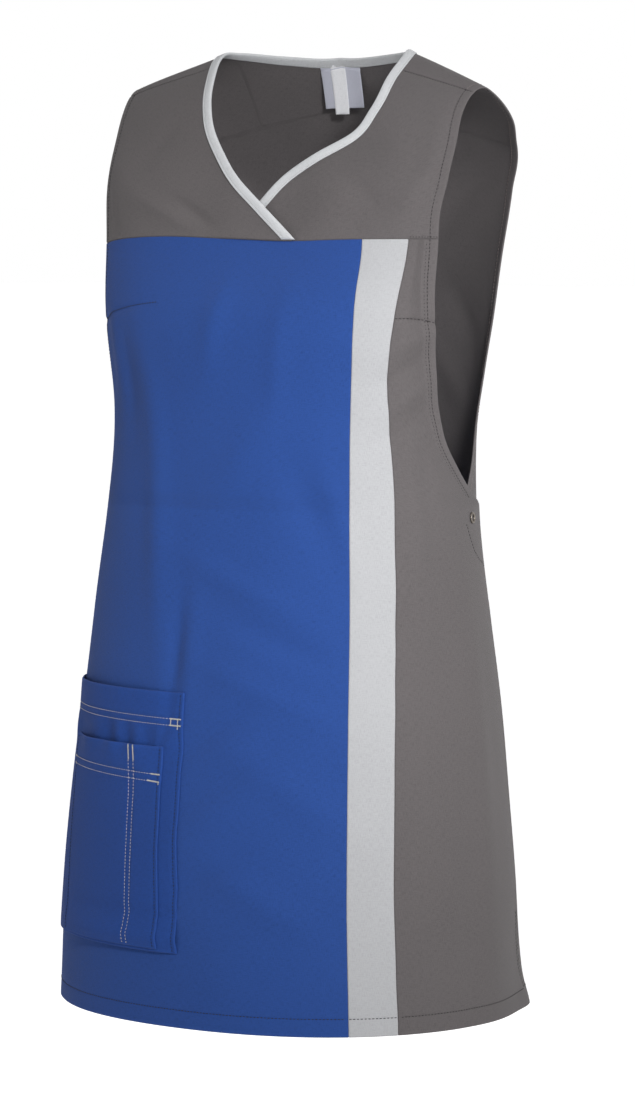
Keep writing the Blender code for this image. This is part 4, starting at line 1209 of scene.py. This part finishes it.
# Each pocket: columns, rows, then its flat width and length (m), area (m2)
POCKET_CUT = {"big": (70, 42, (0.202, 0.211), 0.0403), "small": (44, 36, (0.126, 0.164), 0.0204)}
for name, drape in (("big", big_drape), ("small", small_drape)):
    columns, rows, flat, area = POCKET_CUT[name]
    wide, high = POCKET_SIZE[name]
    mouth_rows = [pocket_line(name, (0.6 / wide, 1 - 0.8 / wide), (1 - outer / high, 1 - inner / high))
                  for outer, inner in POCKET_ROWS[name]]
    side_rows = [pocket_line(name, (share, share), (0.4 / high, 1 - 1.0 / high))
                 for share in (1 - POCKET_INSET / wide, POCKET_INSET / wide)]
    near, near_side = BESIDE_POCKET / high, BESIDE_POCKET / wide
    top_rows = 1 - np.sort(np.concatenate([near, np.arange(9.5, 33, 1.25) / high]))[::-1]
    up = np.unique(np.round(np.concatenate([near, np.linspace(near[-1], top_rows[0], rows), top_rows]), 5))
    across = np.concatenate([near_side, np.linspace(near_side[-1], 1 - near_side[-1], columns)[1:-1],
                             1 - near_side[::-1]])
    divider = []
    if name == "small":
        across = np.unique(np.round(np.concatenate([across, np.linspace(0.68, 0.80, 24)]), 5))
        divider = [pocket_line(name, (DIVIDER + gap, DIVIDER - 0.011 + 0.85 * gap),
                               (1 - 0.6 / high, 0.6 / high)) for gap in (0.0, DIVIDER_GAP / wide)]
    angle, level = pocket_marks(name, *np.meshgrid(across, up))
    mouth, outer_side = pocket_line(name, (0, 1), (1, 1)), pocket_line(name, (0, 0), (0, 1))
    inner_side, foot = pocket_line(name, (1, 1), (0, 1)), pocket_line(name, (0, 1), (0, 0))
    turned = [(mouth, POCKET_ROWS[name][1][1])]
    turned += [(line, POCKET_TURNING) for line in (outer_side, inner_side, foot)]
    pocket_panel = panel(angle, level, drape, turned=turned, stitched=mouth_rows + side_rows + divider,
                         pucker=0.09)
    pocket = make_cloth("pocket_{}_cloth".format(name), [pocket_panel], pocket_twill)
    beige = [row for line in mouth_rows + divider for row in body_row(line, drape, pitch=2.8)]
    navy = [row for line in side_rows for row in body_row(line, drape, pitch=2.8)]
    for tacked, start, start_down, end, end_down, spread in TACKS:
        if tacked == name:
            ends = (start, 1 - start_down / high), (end, 1 - end_down / high)
            beige.append(tack(name, drape, *ends, spread))
    beige_stitches = threads("pocket_{}_beige_stitches".format(name), beige, beige_thread, 0.22)
    navy_stitches = threads("pocket_{}_navy_stitches".format(name), navy, navy_thread)
    for piece in (pocket, beige_stitches, navy_stitches):
        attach(piece, "root")
    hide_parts("pocket_" + name)


# ================================================================ Label and hanging loop
# A bare white satin label and a narrow woven loop in front of it, both caught in the back neck seam
# under the binding and hanging down the inside of the back.

LABEL_WHITE = (0.545, 0.555, 0.640)
LABEL_SHADE = (0.450, 0.460, 0.535)
label_satin = twill("label_satin", LABEL_WHITE, LABEL_SHADE, rib=0.25, roughness=0.45, sheen=0.05, weave=0.5)
loop_tape = twill("loop_tape", (0.820, 0.825, 0.850), (0.660, 0.665, 0.690), rib=0.4, roughness=0.6)

STRIP_TOP = 10.12        # level of the tops, under the binding
# Node, slot, material, middle and half-width in degrees, bottom level, mm off the cloth, mm of swing
# at the free end, columns, rows, mm thick, flat width and length in m
STRIPS = (
    ("neck_label", "label_satin", label_satin, 180.3, 5.75, 9.27, -0.62, 8.0, 20, 32, 0.24, (0.039, 0.041)),
    ("neck_loop", "loop_tape", loop_tape, 181.1, 2.15, 9.18, -0.86, 9.2, 8, 34, 0.4, (0.0146, 0.045)),
)
for node, slot, material, middle, half_angle, bottom, out, swing, columns, rows, thick, flat in STRIPS:
    share = np.linspace(0, 1, rows + 1)[:, None]
    across = np.linspace(-1, 1, columns + 1)[None, :]
    angle = middle + half_angle * across + 0 * share
    level = STRIP_TOP + (bottom - STRIP_TOP) * (1 - share) + 0 * across
    # Below the binding a strip swings away from the sloping back, towards plumb
    down = np.clip((1 - share - 0.13) / 0.87, 0, 1)
    lift = back_drape(angle, level) + out - swing * down ** 1.2 - 0.9 * ease(down, 0.0, 0.05)
    lift = lift + 0.12 * np.sin(across * 1.6 + share * 3) * ease(down, 0.0, 0.4)
    place = on_form(angle, level)
    place[..., 2] += (place[:, columns // 2, None, 2] - place[..., 2]) * down      # cut straight below
    strip = {"place": place, "normal": normal_at(angle, level), "out": lift, "edge": np.zeros_like(angle),
             "u": running_length(place, 1), "v": running_length(place, 0),
             "face": np.full_like(angle, thick / 2), "under": np.full_like(angle, -thick / 2)}
    piece = make_cloth(node + "_cloth", [strip], material)
    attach(piece, "root")
    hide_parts(node)


# ================================================================ Press studs
# An open ring cap of plated metal on each side, pressed through the front over the underlap. They are
# shown closed.

STUD_LEVEL, STUD_ANGLE = 3.95, 98.0
STUD_FOOT = 1.0          # how far off the form the cap's foot is, mm
# The ring's cross-section: radius and height, mm
STUD_PROFILE = ((4.80, 0.0), (4.80, 0.45), (4.68, 0.80), (4.40, 1.06), (4.00, 1.18), (3.60, 1.16),
                (3.20, 1.04), (2.90, 0.82), (2.74, 0.50), (2.70, 0.0))

stud_metal, tree = new_material("stud_metal")
scratch = add_node(tree, "TexNoise", {"Scale": 900, "Detail": 6})["Fac"]
tone = add_node(tree, "Mix", {"A": (0.15, 0.13, 0.11, 1), "B": (0.27, 0.24, 0.21, 1), "Factor": scratch},
                data_type="RGBA")
rough = add_node(tree, "MapRange", {"Value": scratch, "To Min": 0.36, "To Max": 0.54})
set_inputs(tree, tree.nodes["Principled BSDF"], {
    "Metallic": 1.0, "Base Color": tone["Result"], "Roughness": rough["Result"]})

for side, turn in (("right", -1), ("left", 1)):
    mark = np.array([STUD_ANGLE * turn]), np.array([STUD_LEVEL])
    normal = normal_at(*mark)[0]
    foot = on_form(*mark)[0] + normal * (front_drape(*mark)[0] + STUD_FOOT)
    across = unit(np.cross(slopes(on_form, *mark)[1][0], normal))
    up = np.cross(normal, across)
    turns = 2 * math.pi * np.arange(48) / 48
    rays = across * np.cos(turns)[:, None] + up * np.sin(turns)[:, None]
    radius, height = np.array(STUD_PROFILE).T[..., None]
    rings = foot + rays[:, None] * radius + normal * height
    index = np.arange(rings.shape[0] * rings.shape[1]).reshape(rings.shape[:2])
    after, on = np.roll(index, -1, axis=0), np.roll(index, -1, axis=1)
    quads = np.stack([index, after, np.roll(after, -1, axis=1), on], -1).reshape(-1, 4)
    stud = add_mesh("stud_{}_cap".format(side), rings.reshape(-1, 3), quads.tolist(), stud_metal)
    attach(stud, "root")
    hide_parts("stud_" + side)


# ================================================================ Camera, floor and light
# The garment floats over a pale floor in soft, nearly even studio light, seen from its front left.

FLOOR_HEIGHT = -1.42     # m
FLOOR_REACH = 90
CAMERA_PLACE = (1.75, -3.031, -0.155)
CAMERA_AIM = (0, 0, -0.425)


def put(name, data, place=(0, 0, 0), aim=None):
    """An object in the scene, turned towards a place where one is given."""
    thing = bpy.data.objects.new(name, data)
    bpy.context.scene.collection.objects.link(thing)
    thing.location = place
    if aim is not None:
        thing.rotation_euler = (Vector(aim) - Vector(place)).to_track_quat("-Z", "Y").to_euler()
    return thing


camera_data = bpy.data.cameras.new("camera")
camera_data.lens = 133.9
camera_data.sensor_width = 36
bpy.context.scene.camera = put("camera", camera_data, CAMERA_PLACE, CAMERA_AIM)

floor_mesh = bpy.data.meshes.new("floor")
floor_mesh.from_pydata([(x * FLOOR_REACH, y * FLOOR_REACH, FLOOR_HEIGHT)
                        for x, y in ((-1, -1), (1, -1), (1, 1), (-1, 1))], [], [(0, 1, 2, 3)])
floor = put("floor", floor_mesh)
floor_paint, tree = new_material("floor_paint")
where = add_node(tree, "TexCoord", {})["Object"]
cloudy = add_node(tree, "TexNoise", {"Scale": 0.4, "Vector": where})["Fac"]
pale = add_node(tree, "Mix", {"A": (0.80, 0.80, 0.80, 1), "B": (0.84, 0.84, 0.84, 1), "Factor": cloudy},
                data_type="RGBA")
# The floor glows where it is far from the garment, so that it meets the backdrop without an edge
away = add_node(tree, "VectorMath", {0: where}, operation="LENGTH")["Value"]
glow = add_node(tree, "MapRange", {"Value": away, "From Min": 1.2, "From Max": 2.6,
                                   "To Min": 0.12, "To Max": 0.74})["Result"]
set_inputs(tree, tree.nodes["Principled BSDF"], {
    "Base Color": pale["Result"], "Roughness": 0.9,
    "Emission Color": (1, 1, 1, 1), "Emission Strength": glow})
floor_mesh.materials.append(floor_paint)

# Name, kind, place, width (m), watts, and what it shines at
LAMPS = (
    ("key_lamp", "SPOT", (2.0, -1.95, 0.75), 0.6, 375, (0.08, -0.1, -0.37)),
    ("fill_lamp", "AREA", (-1.8, -2.4, 0.5), 2.0, 3, (0.0, 0.0, -0.3)),
    ("top_lamp", "AREA", (0.4, -0.6, 2.2), 1.4, 16, (0.0, 0.0, -0.1)),
    ("back_lamp", "AREA", (-0.8, 3.0, 0.5), 2.0, 24, (0.0, 0.0, -0.4)),
)
lamps = []
for name, kind, place, width, watts, aim_at in LAMPS:
    lamp_data = bpy.data.lights.new(name, kind)
    if kind == "SPOT":
        lamp_data.spot_size = math.radians(26)
        lamp_data.spot_blend = 1.0
        lamp_data.shadow_soft_size = width / 2
    else:
        lamp_data.size = width
    lamp_data.energy = watts
    lamps.append(put(name, lamp_data, place, aim_at))
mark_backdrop(floor, *lamps)

# The backdrop is white at eye height and dimmer overhead and on the shaded side
world = bpy.data.worlds.new("studio")
bpy.context.scene.world = world
world.use_nodes = True
tree = world.node_tree
toward = add_node(tree, "TexCoord", {})["Generated"]
height = add_node(tree, "SeparateXYZ", {0: toward})["Z"]
overhead = add_node(tree, "MapRange", {"Value": height, "From Min": 0.14, "From Max": 0.40,
                                       "To Min": 1.0, "To Max": 0.40})["Result"]
shaded = add_node(tree, "VectorMath", {0: toward, 1: (-0.5, -0.866, 0.0)}, operation="DOT_PRODUCT")["Value"]
dimmed = add_node(tree, "MapRange", {"Value": shaded, "From Min": 0.0, "From Max": 0.7,
                                     "To Min": 1.0, "To Max": 0.26})["Result"]
both = add_node(tree, "Math", {0: overhead, 1: dimmed}, operation="MULTIPLY")[0]
# The camera itself sees it white all round, so that no band shows above the floor
sight = add_node(tree, "LightPath", {})["Is Camera Ray"]
seen = add_node(tree, "Math", {0: both, 1: sight}, operation="MAXIMUM")[0]
set_inputs(tree, tree.nodes["Background"], {"Color": (1, 1, 1, 1), "Strength": seen})
bpy.context.scene.view_settings.view_transform = "Standard"

low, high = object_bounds()
